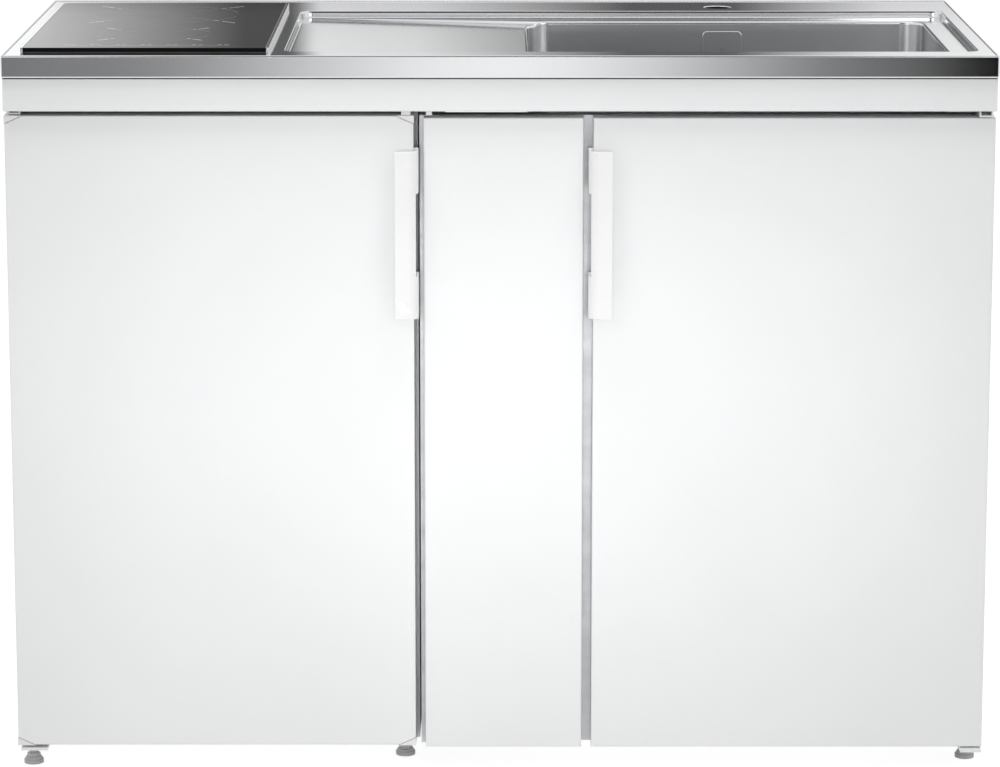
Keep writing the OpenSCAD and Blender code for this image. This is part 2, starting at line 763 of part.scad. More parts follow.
module fridge_foam() {
    z0 = base_z + 17.5;
    z1 = module_top - 1;
    lx0 = cav_x0 - liner_t;
    lx1 = cav_x1 + liner_t;
    d0 = body_d0 + 1;
    d1 = body_d1 - 2;
    color([0.95, 0.9, 0.7]) {
        block(fx0 + 1, lx0, d0, d1, z0, z1);
        block(lx1, fx1 - 1, d0, d1, z0, z1);
        block(lx0, lx1, d0, d1, cav_z1 + liner_t, z1);
        block(lx0, lx1, d0, step_back, z0, cav_z0 - liner_t);
        block(lx0, lx1, cav_d1 + liner_t, d1, back_z0, cav_z1 + liner_t);
        block(lx0, lx1, step_d + liner_t, step_back, cav_z0 - liner_t, step_z - liner_t);
        block(lx0, lx1, step_back, cav_d1 + liner_t, back_z0, step_z - liner_t);
    }
}

module fridge_liner() {
    t = liner_t;
    color([0.97, 0.97, 0.97]) {
        difference() {
            block(cav_x0 - t, cav_x1 + t, body_d0, cav_d1 + t, cav_z0 - t, cav_z1 + t);
            block(cav_x0 - t - 1, cav_x1 + t + 1, step_d + t, cav_d1 + t + 1, cav_z0 - t - 1, step_z - t);
            block(cav_x0, cav_x1, body_d0 - 1, step_d, cav_z0, cav_z1);
            block(cav_x0, cav_x1, step_d - 1, cav_d1, step_z, cav_z1);
        }
        for (z = shelf_zs) {
            back = z <= step_z ? step_d : cav_d1 - 20;
            block(cav_x0, cav_x0 + 8, shelf_d0, back, z - 6, z);
            block(cav_x1 - 8, cav_x1, shelf_d0, back, z - 6, z);
        }
    }
}

module compressor() {
    x = (fx0 + fx1) / 2 + 60;
    d = comp_d;
    color([0.07, 0.07, 0.07]) {
        translate([x, yb(d), 0]) rotate_extrude() union() {
            translate([0, 50]) square([66, 110]);
            translate([0, 110]) intersection() {
                square([72, 20]);
                translate([0, -10]) circle(r = 72);
            }
            translate([0, 160]) intersection() {
                square([66, 24]);
                translate([0, -78]) circle(r = 102);
            }
        }
        for (sx = [-1, 1]) for (sd = [-1, 1]) {
            block(x + sx * 60 - 14, x + sx * 60 + 14, d + sd * 48 - 14, d + sd * 48 + 14, 46, 50);
            post(x + sx * 60, d + sd * 48, base_z + 1.5, 46, 9);
        }
    }
}

module condenser() {
    r = 2.4;
    d = body_d1 + 7;
    x0 = fx0 + 50;
    x1 = fx1 - 50;
    rows = 10;
    z0 = back_z0 + 50;
    pitch = (module_top - 74 - z0) / (rows - 1);
    z1 = z0 + (rows - 1) * pitch;
    color([0.05, 0.05, 0.05]) {
        for (i = [0 : rows - 1]) translate([x0, yb(d), z0 + i * pitch]) rotate([0, 90, 0])
            cylinder(r = r, h = x1 - x0);
        for (i = [0 : rows - 2]) {
            x = i % 2 == 0 ? x1 : x0;
            turn = i % 2 == 0 ? -90 : 90;
            translate([x, yb(d), z0 + (i + 0.5) * pitch]) rotate([90, 0, 0]) rotate([0, 0, turn])
                rotate_extrude(angle = 180) translate([pitch / 2, 0]) circle(r = r, $fn = 24);
        }
        for (x = [x0 + 10, x1 - 10]) for (z = [z0 + 20, z1 - 20])
            block(x - 8, x + 8, body_d1 - 1, d - r + 0.4, z - 4, z + 4);
        for (x = [x0 + 10, x1 - 10]) block(x - 3, x + 3, d - r - 0.4, d - r + 0.6, z0 - 5, z1 + 5);
    }
}

module glass_shelves() {
    color([0.75, 0.85, 0.85]) for (z = shelf_zs)
        block(cav_x0 + 1, cav_x1 - 1, shelf_d0 + 2, cav_d1 - 1, z, z + 4);
}

module crisper_drawer() {
    x0 = cav_x0 + 10;
    x1 = cav_x1 - 10;
    d0 = liner_face + rack_d + 17 + crisper_travel;
    d1 = step_d - 2;
    z0 = cav_z0 + 0.3;
    z1 = step_z - 12;
    r = 14;
    color([0.85, 0.9, 0.92]) {
        difference() {
            rounded_block(x0, x1, d0, d1, z0, z1, r);
            rounded_block(x0 + 2, x1 - 2, d0 + 2, d1 - 2, z0 + 2, z1 + 1, r - 2);
        }
        block(x0 + 60, x1 - 60, d0 - 6, d0, z1 - 14, z1);
    }
}

module thermostat_housing() {
    color([0.96, 0.96, 0.96]) difference() {
        rounded_block(th_x0, th_x1, th_d0, th_d1, th_z0, cav_z1, 8);
        rounded_block(th_x0 + 3, th_x1 - 3, th_d0 + 3, th_d1 - 3, th_z0 + 3, cav_z1 + 1, 5);
        bar_y(knob_x, knob_z, th_d0 - 2, th_d0 + 5, 4 + run_gap);
        for (i = [0 : 7]) translate([i * 9, 0, 0])
            block(th_x0 + 10, th_x0 + 15, th_d0 + 40, th_d1 - 30, th_z0 - 2, th_z0 + 4);
    }
}

module thermostat_knob() {
    color([0.9, 0.9, 0.9]) difference() {
        union() {
            bar_y(knob_x, knob_z, th_d0 - 13, th_d0 - 0.3, 16);
            bar_y(knob_x, knob_z, th_d0 - 0.3, th_d0 + 12, 4);
        }
        for (i = [0 : 11]) translate([knob_x, yb(th_d0 - 14), knob_z]) rotate([0, i * 30, 0])
            translate([17, 0, 0]) rotate([-90, 0, 0]) cylinder(r = 2, h = 12, $fn = 24);
    }
}

// ---------- refrigerator door ----------

// corner triangle prism: sx and sz choose the corner
module cap_prism(sx, sz, g) {
    x = sx < 0 ? door_left - g : fd_x1 + g;
    z = sz < 0 ? fridge_door_z0 - g : fridge_door_z1 + g;
    translate([0, yb(liner_face), 0]) rotate([90, 0, 0]) linear_extrude(height = fridge_door_t + g)
        polygon([[x, z], [x - sx * 22, z], [x, z - sz * 10]]);
}

module fridge_door_skin() {
    color([0.95, 0.95, 0.95]) difference() {
        door_pan(door_left, fd_x1, door_d, liner_face, fridge_door_z0, fridge_door_z1, 1, 16);
        for (sx = [-1, 1]) for (sz = [-1, 1]) cap_prism(sx, sz, 0);
        post(fh_x, fh_d, fridge_door_z0 - 2, fridge_door_z0 + 20, 7);
        post(fh_x, fh_d, fridge_door_z1 - 20, fridge_door_z1 + 2, 7);
    }
}

module door_corner_caps() {
    color([0.97, 0.97, 0.97]) difference() {
        for (sx = [-1, 1]) for (sz = [-1, 1]) intersection() {
            cap_prism(sx, sz, 0.5);
            union() {
                cap_prism(sx, sz, 0);
                block(door_left - 1, fd_x1 + 1, door_d - 1, liner_face, fridge_door_z1, fridge_door_z1 + 1);
                block(door_left - 1, fd_x1 + 1, door_d - 1, liner_face, fridge_door_z0 - 1, fridge_door_z0);
                block(door_left - 1, door_left, door_d - 1, liner_face, 0, unit_h);
                block(fd_x1, fd_x1 + 1, door_d - 1, liner_face, 0, unit_h);
            }
        }
        post(fh_x, fh_d, fridge_door_z0 - 2, fridge_door_z0 + 20, 7);
        post(fh_x, fh_d, fridge_door_z1 - 20, fridge_door_z1 + 2, 7);
    }
}

module fridge_door_liner() {
    color([0.97, 0.97, 0.97]) {
        block(door_left + 16, fd_x1 - 16, liner_face - 1, liner_face,
            fridge_door_z0 + 16, fridge_door_z1 - 16);
        for (x = [rib_x0, rib_x1 - 12]) {
            block(x, x + 12, liner_face, liner_face + rack_d, cav_z0 + 15, cav_z1 - 15);
        }
    }
}

module door_gasket() {
    x0 = door_left + 15;
    x1 = fd_x1 - 9.5;
    z0 = fridge_door_z0 + 13;
    z1 = fridge_door_z1 - 16;
    w = 14;
    d0 = liner_face;
    d1 = body_d0 - 0.3;
    color([0.88, 0.88, 0.88]) {
        block(x0, x1, d0, d1, z1 - w, z1);
        block(x0, x1, d0, d1, z0, z0 + w);
        block(x0, x0 + w, d0, d1, z0 + w, z1 - w);
        block(x1 - w, x1, d0, d1, z0 + w, z1 - w);
    }
}

module door_racks() {
    x0 = rib_x0 + 12;
    x1 = rib_x1 - 12;
    color([0.85, 0.9, 0.92]) for (rk = racks) {
        block(x0, x1, liner_face, rk[1], rk[0], rk[0] + 2);
        block(x0, x1, rk[1] - 2, rk[1], rk[0] + 2, rk[0] + 55);
        block(x0, x0 + 2, liner_face, rk[1] - 2, rk[0] + 2, rk[0] + 30);
        block(x1 - 2, x1, liner_face, rk[1] - 2, rk[0] + 2, rk[0] + 30);
    }
}

// pair of plain bearings for the upper and lower hinge pins
module bushes(x, d, z0, z1) {
    difference() {
        union() {
            post(x, d, z0, z0 + 16, 7);
            post(x, d, z1 - 16, z1, 7);
        }
        post(x, d, z0 - 1, z0 + 14, pin_r + run_gap);
        post(x, d, z1 - 14, z1 + 1, pin_r + run_gap);
    }
}

module fridge_door_bushes() {
    color([0.9, 0.9, 0.9]) bushes(fh_x, fh_d, fridge_door_z0, fridge_door_z1);
}

// wrap-around grip: edge is the door's side, dir points from the door's edge over its face
module handle(edge, dir) {
    out = 6;
    t = handle_t;
    d_front = -handle_proud;
    d_bend = d_front + handle_r;
    d_back = 20;
    len = handle_w - handle_r + 3.4;
    translate([edge, 0, handle_z0]) mirror([dir < 0 ? 0 : 1, 0, 0]) difference() {
        union() {
            translate([-handle_w + 3.4, yb(d_front), 0]) cube([len - 0.8, t, handle_h]);
            translate([out - handle_r, yb(d_bend), 0]) rotate([0, 0, -90]) rotate_extrude(angle = 90)
                translate([handle_r - t, 0]) square([t, handle_h]);
            translate([out - t, yb(d_bend), 0]) cube([t, d_back - d_bend, handle_h]);
            for (z = [0, handle_h - lug_h]) translate([0, yb(door_d + 1), z])
                cube([out - t, d_back - door_d - 1, lug_h]);
        }
        translate([out - handle_r, yb(d_front) + finger_cut, lug_h])
            cube([20, 80, handle_h - 2 * lug_h]);
    }
}

module fridge_handle() {
    color([0.97, 0.97, 0.97]) handle(fd_x1, -1);
}

// upper channel arm between ax and bx with its pin, lower plate between xa and xb with its pin
module hinge_set(x, d, ax, bx, xa, xb, door_z0, door_z1, foot_x, foot_dd, d_body, foot_gap) {
    arm_z = door_z1 + 1.5;
    arm_top = fascia_z0 - 0.3;
    arm_end = d_body + 22;
    difference() {
        union() {
            block(ax, bx, d - 14, d_body + 3, arm_z, arm_top);
            block(ax, bx, d_body + 3, arm_end, module_top, arm_top);
        }
        block(ax + 2, bx - 2, d - 15, arm_end + 1, arm_z + 2, arm_top + 1);
    }
    post(x, d, door_z1 - 12, arm_z + e, pin_r);
    difference() {
        block(xa, xb, d - 16, foot_dd + 26, plate_z0, base_z);
        post(foot_x, foot_dd, plate_z0 - 1, base_z + 1, stem_r + foot_gap);
    }
    post(x, d, base_z - e, door_z0 + 12, pin_r);
}

module fridge_hinges() {
    color([0.9, 0.9, 0.9]) hinge_set(fh_x, fh_d, fh_x - 4, fh_x + 11.5, fx0 + 2, fx0 + 35,
        fridge_door_z0, fridge_door_z1, feet_x[0], feet_d[0], body_d0, run_gap);
}

// ---------- cabinet ----------

module cabinet_side_left() {
    color([0.75, 0.75, 0.75]) folded_side(cx0, 1, carcass_d0, body_d1, base_z, module_top, 1.2, 24);
}

module cabinet_side_right() {
    color([0.75, 0.75, 0.75]) folded_side(cx1, -1, carcass_d0, body_d1, base_z, module_top, 1.2, 24);
}

module cabinet_floor() {
    x0 = cx0 + 1.2;
    x1 = cx1 - 1.2;
    color([0.78, 0.78, 0.78]) difference() {
        union() {
            block(x0, x1, carcass_d0 + 14, body_d1 - 1.2, floor_z, floor_z + 1.2);
            block(x0 + 23, x1 - 23, carcass_d0 + 14, carcass_d0 + 15.2, base_z, floor_z);
            for (i = [4 : 7]) {
                xa = i % 2 == 0 ? x0 : x1 - 32;
                block(xa, xa + 32, feet_d[i] - 16, feet_d[i] + 16, base_z, floor_z);
            }
        }
        for (i = [4 : 7]) post(feet_x[i], feet_d[i], base_z - 1, base_z + 16, stem_r + run_gap);
    }
}

module cabinet_back() {
    color([0.72, 0.72, 0.72])
        block(cx0 + 24, cx1 - 24, body_d1 - 1.2, body_d1, base_z + 5, waste_pipe_z - 100);
}

module cabinet_rails() {
    x0 = cx0 + 1.2;
    x1 = cx1 - 1.2;
    z1 = module_top - 1.2;
    color([0.75, 0.75, 0.75]) {
        block(x0, x1, carcass_d0 + 14, carcass_d0 + 15.2, module_top - 40, z1);
        block(x0, x1, carcass_d0 + 15.2, carcass_d0 + 34, z1 - 1.2, z1);
        block(x0, x1, body_d1 - 2.4, body_d1 - 1.2, module_top - 64, z1);
        block(x0, x1, body_d1 - 40, body_d1 - 2.4, z1 - 1.2, z1);
    }
}

module front_post() {
    color([0.7, 0.7, 0.7]) difference() {
        block(post_x0, post_x1, carcass_d0, carcass_d0 + 14, base_z + 3, module_top);
        block(post_x0 + 1.2, post_x1 - 1.2, carcass_d0 + 1.2, carcass_d0 + 15, base_z, module_top + 1);
    }
}

module filler_panel() {
    color([0.95, 0.95, 0.95])
        door_pan(filler_x0, filler_x1, door_d, carcass_d0, cab_door_z0, cab_door_z1, 1, 14);
}

module cabinet_door_skin() {
    color([0.95, 0.95, 0.95]) difference() {
        door_pan(cab_door_x0, door_right, door_d, door_d + cab_door_t, cab_door_z0, cab_door_z1, 1, 14);
        post(ch_x, ch_d, cab_door_z0 - 2, cab_door_z0 + 20, 7);
        post(ch_x, ch_d, cab_door_z1 - 20, cab_door_z1 + 2, 7);
    }
}

module cabinet_door_inner() {
    color([0.9, 0.9, 0.9]) block(cab_door_x0 + 14, door_right - 14, door_d + cab_door_t - 1,
        door_d + cab_door_t, cab_door_z0 + 14, cab_door_z1 - 14);
}

module cabinet_door_bushes() {
    color([0.9, 0.9, 0.9]) bushes(ch_x, ch_d, cab_door_z0, cab_door_z1);
}

module cabinet_handle() {
    color([0.97, 0.97, 0.97]) handle(cab_door_x0, 1);
}

module cabinet_hinges() {
    color([0.9, 0.9, 0.9]) hinge_set(ch_x, ch_d, ch_x - 12.5, ch_x + 4, cx1 - 27, cx1 - 1,
        cab_door_z0, cab_door_z1, feet_x[5], feet_d[5], carcass_d0, 0.6);
}

module magnet_catch() {
    color([0.9, 0.9, 0.88]) {
        block(post_x1, post_x1 + 14, carcass_d0 - 3.2, carcass_d0 + 12, module_top - 89, module_top - 44);
        block(post_x1 + 14, post_x1 + 20, carcass_d0 + 6, carcass_d0 + 12, module_top - 84, module_top - 49);
    }
}

// ---------- feet ----------

// levelling foot number i, its stem ends at height top
module foot(i, top) {
    z1 = foot_h;
    rotate_about(feet_x[i], feet_d[i], 0) {
        rotate_extrude() union() {
            square([foot_r, z1 - 3]);
            translate([0, z1 - 3]) square([foot_r - 2, 3]);
            translate([0, z1]) square([stem_r, top - z1]);
        }
        translate([0, 0, z1]) cylinder(r = 8.5, h = 5, $fn = 6);
    }
}

module foot_fridge_front_left() { color([0.6, 0.6, 0.6]) foot(0, base_z - 0.3); }
module foot_fridge_front_right() { color([0.6, 0.6, 0.6]) foot(1, base_z + 13); }
module foot_fridge_rear_left() { color([0.6, 0.6, 0.6]) foot(2, base_z + 13); }
module foot_fridge_rear_right() { color([0.6, 0.6, 0.6]) foot(3, base_z + 13); }
module foot_cabinet_front_left() { color([0.6, 0.6, 0.6]) foot(4, base_z + 13); }
module foot_cabinet_front_right() { color([0.6, 0.6, 0.6]) foot(5, base_z + 13); }
module foot_cabinet_rear_left() { color([0.6, 0.6, 0.6]) foot(6, base_z + 13); }
module foot_cabinet_rear_right() { color([0.6, 0.6, 0.6]) foot(7, base_z + 13); }

// ---------- drawing ----------

worktop_sheet();
worktop_core();
sink_bowl();
overflow_plate();
overflow_pipe();
waste_body();
strainer_basket();
bottle_trap();
waste_pipe();
hob_glass();
hob_seal();
hob_trims();
hob_case();
hob_coils();
hob_electronics();
fascia();
frame_rails();
wall_rail();
rest_blocks();
fridge_shell();
fridge_base();
fridge_back();
fridge_foam();
fridge_liner();
compressor();
condenser();
glass_shelves();
crisper_drawer();
thermostat_housing();
thermostat_knob();
fridge_door_skin();
door_corner_caps();
fridge_door_liner();
door_gasket();
door_racks();
fridge_door_bushes();
fridge_handle();
fridge_hinges();
cabinet_side_left();
cabinet_side_right();
cabinet_floor();
cabinet_back();
cabinet_rails();
front_post();
filler_panel();
cabinet_door_skin();
cabinet_door_inner();
cabinet_door_bushes();
cabinet_handle();
cabinet_hinges();
magnet_catch();
foot_fridge_front_left();
foot_fridge_front_right();
foot_fridge_rear_left();
foot_fridge_rear_right();
foot_cabinet_front_left();
foot_cabinet_front_right();
foot_cabinet_rear_left();
foot_cabinet_rear_right();
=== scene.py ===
# %% [markdown]
# # A kitchenette unit with sink and hob
#
# The object is a ready-made mini kitchen: one steel worktop with a pressed sink, a black glass hob,
# a small refrigerator on the left and a sink cabinet on the right.
# The exact model of every piece is already there, and this lesson dresses it: rounded and pressed
# edges, brushed steel, powder coat, glass and plastic. The exact pieces stay where they are. A piece
# is only made again where its real edges are softer than the plain model's.

# %% Load the exact model
import json
import math

import bmesh
import bpy
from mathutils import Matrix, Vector
from mathutils.geometry import delaunay_2d_cdt


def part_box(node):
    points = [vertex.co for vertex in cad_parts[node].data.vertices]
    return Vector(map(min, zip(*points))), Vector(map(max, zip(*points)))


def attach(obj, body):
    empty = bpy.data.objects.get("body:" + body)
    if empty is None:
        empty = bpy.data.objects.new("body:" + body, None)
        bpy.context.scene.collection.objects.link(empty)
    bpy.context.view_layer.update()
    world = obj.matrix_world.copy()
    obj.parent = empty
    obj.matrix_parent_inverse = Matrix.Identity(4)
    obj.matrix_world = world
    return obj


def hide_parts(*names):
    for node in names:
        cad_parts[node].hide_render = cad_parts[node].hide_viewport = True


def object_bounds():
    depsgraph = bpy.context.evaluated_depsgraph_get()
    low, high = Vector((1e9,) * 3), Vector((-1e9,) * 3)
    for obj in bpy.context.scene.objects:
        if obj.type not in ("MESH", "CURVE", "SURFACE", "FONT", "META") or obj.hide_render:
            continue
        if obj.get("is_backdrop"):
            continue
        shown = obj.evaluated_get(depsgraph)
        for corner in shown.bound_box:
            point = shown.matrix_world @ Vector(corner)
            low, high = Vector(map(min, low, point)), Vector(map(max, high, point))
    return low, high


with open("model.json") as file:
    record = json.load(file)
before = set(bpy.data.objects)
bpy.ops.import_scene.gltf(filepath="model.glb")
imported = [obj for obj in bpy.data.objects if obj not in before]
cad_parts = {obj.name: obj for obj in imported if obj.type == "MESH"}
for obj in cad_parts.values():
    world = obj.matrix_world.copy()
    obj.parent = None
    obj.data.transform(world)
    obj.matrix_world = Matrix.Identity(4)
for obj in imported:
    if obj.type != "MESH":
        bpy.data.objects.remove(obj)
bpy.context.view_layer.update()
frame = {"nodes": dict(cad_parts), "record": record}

# %% [markdown]
# All lengths are written as they are on the drawing: millimetres across from the middle, millimetres
# behind the worktop's front edge, and millimetres above the floor. One helper turns them into Blender's
# metres, so no other cell has to.

# %% Millimetres to metres
MM = 0.001
FRONT_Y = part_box("worktop_sheet")[0].y


def at(x, depth, z):
    """A point given in millimetres: across, behind the front edge, above the floor."""
    return Vector((x * MM, FRONT_Y + depth * MM, z * MM))


def to_mm(co):
    """The same three numbers, back from a point in metres."""
    return co.x / MM, (co.y - FRONT_Y) / MM, co.z / MM


def mm_box(name):
    """The box of an exact piece: x0, x1, depth 0, depth 1, z0, z1 in millimetres."""
    lo, hi = (to_mm(corner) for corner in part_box(name))
    return lo[0], hi[0], lo[1], hi[1], lo[2], hi[2]


print("front edge lies at y =", round(FRONT_Y, 4))

# %% [markdown]
# ## Camera
# The photograph was taken from the front, a little above the worktop, with a long lens. The worktop's
# known width and depth give the distance: its back edge looks shorter than its front edge.

# %% Camera
IMAGE_W = 1000
LENS_PX = 4013.1
CAMERA_DISTANCE = 4788.4
CAMERA_HEIGHT = 1499.0
CAMERA_PITCH = 10.885

camera_data = bpy.data.cameras.new("camera")
camera_data.sensor_width = 36
camera_data.lens = LENS_PX * 36 / IMAGE_W
camera_data.shift_y = -0.0635
camera_data.clip_end = 100
camera = bpy.data.objects.new("camera", camera_data)
camera.location = at(0, -CAMERA_DISTANCE, CAMERA_HEIGHT)
camera.rotation_euler = (math.radians(90 - CAMERA_PITCH), 0, 0)
bpy.context.scene.collection.objects.link(camera)
bpy.context.scene.camera = camera
bpy.context.scene.view_settings.view_transform = "Standard"
print("lens", round(camera_data.lens, 1), "mm")

# %% [markdown]
# ## Small helpers for node trees
# Every material is made of nodes. Two helpers keep the cells short: one adds a node with its settings
# and plain values, the other makes a material that has a Principled shader ready.


# %% Node helpers
def add(tree, kind, values=None, **settings):
    """Adds a node, sets its properties, and sets plain values on its inputs."""
    node = tree.nodes.new(kind)
    for key, value in settings.items():
        setattr(node, key, value)
    for key, value in (values or {}).items():
        node.inputs[key].default_value = value
    return node


def wire(tree, *links):
    """Joins sockets. A link is (node, its output, node, its input)."""
    for source, out, target, into in links:
        tree.links.new(source.outputs[out], target.inputs[into])


def new_material(name, **values):
    """A material, its tree, its Principled shader and the object coordinates."""
    mat = bpy.data.materials.new(name)
    mat.use_nodes = True
    tree = mat.node_tree
    shader = tree.nodes["Principled BSDF"]
    for key, value in values.items():
        shader.inputs[key.replace("_", " ")].default_value = value
    coords = add(tree, "ShaderNodeTexCoord")
    return mat, tree, shader, coords.outputs["Object"]


def new_group(name, inputs, outputs):
    """An empty shader group with named sockets. Returns the group, its input node and its output node."""
    group = bpy.data.node_groups.new(name, "ShaderNodeTree")
    for label, kind, value in inputs:
        socket = group.interface.new_socket(name=label, in_out="INPUT", socket_type="NodeSocket" + kind)
        if value is not None:
            socket.default_value = value
    for label, kind in outputs:
        group.interface.new_socket(name=label, in_out="OUTPUT", socket_type="NodeSocket" + kind)
    return group, add(group, "NodeGroupInput"), add(group, "NodeGroupOutput")


def use(tree, group, vector, **values):
    """Places a group in a material, fed with coordinates."""
    node = tree.nodes.new("ShaderNodeGroup")
    node.node_tree = group
    for key, value in values.items():
        node.inputs[key.replace("_", " ")].default_value = value
    tree.links.new(vector, node.inputs["Vector"])
    return node


print("node helpers ready")

# %% [markdown]
# Four more helpers make meshes and objects: one ends the editing of a mesh, one puts an object into the
# scene at the origin, one makes an object's modifiers part of its mesh, and one keeps flat faces flat.


# %% Mesh and object helpers
def mesh_of(bm, name):
    mesh = bpy.data.meshes.new(name)
    bm.to_mesh(mesh)
    bm.free()
    return mesh


def stand(name, data):
    obj = bpy.data.objects.new(name, data)
    bpy.context.scene.collection.objects.link(obj)
    return obj


def apply_modifiers(obj):
    graph = bpy.context.evaluated_depsgraph_get()
    done = bpy.data.meshes.new_from_object(obj.evaluated_get(graph))
    obj.modifiers.clear()
    obj.data = done
    return done


def keep_flat(obj):
    """Weighted normals: the large flat faces decide, and only narrow rounds turn."""
    obj.modifiers.new("flat faces stay flat", "WEIGHTED_NORMAL").weight = 100


print("object helpers ready")

# %% [markdown]
# ## Shared surface effects
# Three effects come back on many pieces, so each is a node group that is built once: the fine lines of
# brushed steel, the orange peel of powder coat, and the slow unevenness of any real surface. A group
# only gives out values that change over the surface. The shader itself stays in the material.

# %% Brushed lines
brushed, g_in, g_out = new_group(
    "brushed lines",
    [("Vector", "Vector", None), ("Along", "Vector", (3.0, 220.0, 220.0)), ("Light", "Float", 1.0),
     ("Dark", "Float", 0.0)],
    [("Height", "Float"), ("Roughness", "Float")])
stretch = add(brushed, "ShaderNodeVectorMath", operation="MULTIPLY")
fine = add(brushed, "ShaderNodeTexNoise", {"Scale": 6.0, "Detail": 3.0, "Roughness": 0.6})
coarse = add(brushed, "ShaderNodeTexNoise", {"Scale": 1.3, "Detail": 2.0, "Roughness": 0.5})
both = add(brushed, "ShaderNodeMath", operation="ADD")
spread = add(brushed, "ShaderNodeMapRange", {"From Min": 0.35, "From Max": 0.65})
wire(brushed, (g_in, "Vector", stretch, 0), (g_in, "Along", stretch, 1), (stretch, 0, fine, "Vector"),
     (stretch, 0, coarse, "Vector"), (fine, 0, both, 0), (coarse, 0, both, 1), (both, 0, g_out, "Height"),
     (coarse, 0, spread, "Value"), (g_in, "Dark", spread, "To Min"), (g_in, "Light", spread, "To Max"),
     (spread, 0, g_out, "Roughness"))
print(brushed.name, "has", len(brushed.nodes), "nodes")

# %% Orange peel
peel, g_in, g_out = new_group(
    "orange peel",
    [("Vector", "Vector", None), ("Scale", "Float", 900.0)],
    [("Height", "Float")])
lumps = add(peel, "ShaderNodeTexNoise", {"Detail": 1.0, "Roughness": 0.4})
broad = add(peel, "ShaderNodeTexNoise", {"Scale": 60.0, "Detail": 1.0})
sum_up = add(peel, "ShaderNodeMath", operation="MULTIPLY_ADD")
sum_up.inputs[1].default_value = 0.35
wire(peel, (g_in, "Vector", lumps, "Vector"), (g_in, "Scale", lumps, "Scale"),
     (g_in, "Vector", broad, "Vector"), (broad, 0, sum_up, 0), (lumps, 0, sum_up, 2),
     (sum_up, 0, g_out, "Height"))
print(peel.name, "has", len(peel.nodes), "nodes")

# %% Uneven tone
uneven, g_in, g_out = new_group(
    "uneven tone",
    [("Vector", "Vector", None), ("Scale", "Float", 5.0), ("Tone A", "Color", (0.8, 0.8, 0.8, 1)),
     ("Tone B", "Color", (0.7, 0.7, 0.7, 1)), ("Rough A", "Float", 0.3), ("Rough B", "Float", 0.4)],
    [("Color", "Color"), ("Roughness", "Float")])
clouds = add(uneven, "ShaderNodeTexNoise", {"Detail": 4.0, "Roughness": 0.55})
smear = add(uneven, "ShaderNodeTexNoise", {"Scale": 23.0, "Detail": 3.0, "Distortion": 0.6})
contrast = add(uneven, "ShaderNodeMapRange", {"From Min": 0.3, "From Max": 0.7})
tone = add(uneven, "ShaderNodeMix", data_type="RGBA")
rough = add(uneven, "ShaderNodeMapRange", {"From Min": 0.3, "From Max": 0.7})
wire(uneven, (g_in, "Vector", clouds, "Vector"), (g_in, "Scale", clouds, "Scale"),
     (g_in, "Vector", smear, "Vector"), (clouds, 0, contrast, "Value"), (contrast, 0, tone, "Factor"),
     (g_in, "Tone A", tone, 6), (g_in, "Tone B", tone, 7), (tone, 2, g_out, "Color"),
     (smear, 0, rough, "Value"), (g_in, "Rough A", rough, "To Min"), (g_in, "Rough B", rough, "To Max"),
     (rough, 0, g_out, "Roughness"))
print(uneven.name, "has", len(uneven.nodes), "nodes")

# %% [markdown]
# ## Steel
# The worktop is satin stainless steel. Its brushing runs along the worktop, so the noise that makes the
# lines is stretched along x. The bowl's walls are brushed round the bowl: their highlights are drawn out
# upright by an anisotropic shader. Trims are polished and hidden parts are zinc plated. One function
# makes all five steels, with the direction of the lines as a value.


# %% Steel materials
def steel(name, along, tone_a, tone_b, rough_a, rough_b, bump, scale=3.0):
    """Steel whose brushed lines are long where a value of along is small."""
    mat, tree, shader, coords = new_material(name, Metallic=1.0)
    tone_node = use(tree, uneven, coords, Scale=scale, Tone_A=tone_a, Tone_B=tone_b)
    lines = use(tree, brushed, coords, Along=along, Dark=rough_a, Light=rough_b)
    relief = add(tree, "ShaderNodeBump", {"Strength": bump, "Distance": 0.0002})
    wire(tree, (tone_node, "Color", shader, "Base Color"), (lines, "Roughness", shader, "Roughness"),
         (lines, "Height", relief, "Height"), (relief, "Normal", shader, "Normal"))
    return mat


deck_steel = steel("deck steel", (2.0, 420.0, 420.0), (0.70, 0.71, 0.72, 1), (0.67, 0.68, 0.70, 1),
                   0.075, 0.10, 0.05)
bowl_steel = steel("bowl steel", (4.0, 4.0, 600.0), (0.54, 0.55, 0.56, 1), (0.51, 0.52, 0.53, 1),
                   0.28, 0.30, 0.03)
corner_steel = steel("polished corner steel", (40.0, 40.0, 1.5), (0.86, 0.87, 0.88, 1),
                     (0.70, 0.71, 0.72, 1), 0.22, 0.30, 0.5, 20.0)
for brushed_round in (bowl_steel, corner_steel):
    round_shader = brushed_round.node_tree.nodes["Principled BSDF"]
    round_shader.inputs["Anisotropic"].default_value = 0.8
    round_shader.inputs["Anisotropic Rotation"].default_value = 0.25
    round_z = add(brushed_round.node_tree, "ShaderNodeTangent", direction_type="RADIAL", axis="Z")
    wire(brushed_round.node_tree, (round_z, 0, round_shader, "Tangent"))
bright_steel = steel("bright steel", (30.0, 30.0, 30.0), (0.80, 0.81, 0.82, 1), (0.75, 0.76, 0.77, 1),
                     0.06, 0.12, 0.04, 20.0)
zinc_steel = steel("zinc steel", (25.0, 25.0, 90.0), (0.54, 0.55, 0.56, 1), (0.47, 0.48, 0.50, 1),
                   0.42, 0.52, 0.1, 40.0)
print("steels:", [m.name for m in (deck_steel, bowl_steel, corner_steel, bright_steel, zinc_steel)])

# %% [markdown]
# ## Powder coat, plastic, rubber and board
# The doors and the fascia are painted steel with the slight orange peel of powder coat. Mouldings are
# plain plastics. They differ in tone, gloss and grain, so one function with those values makes them all.


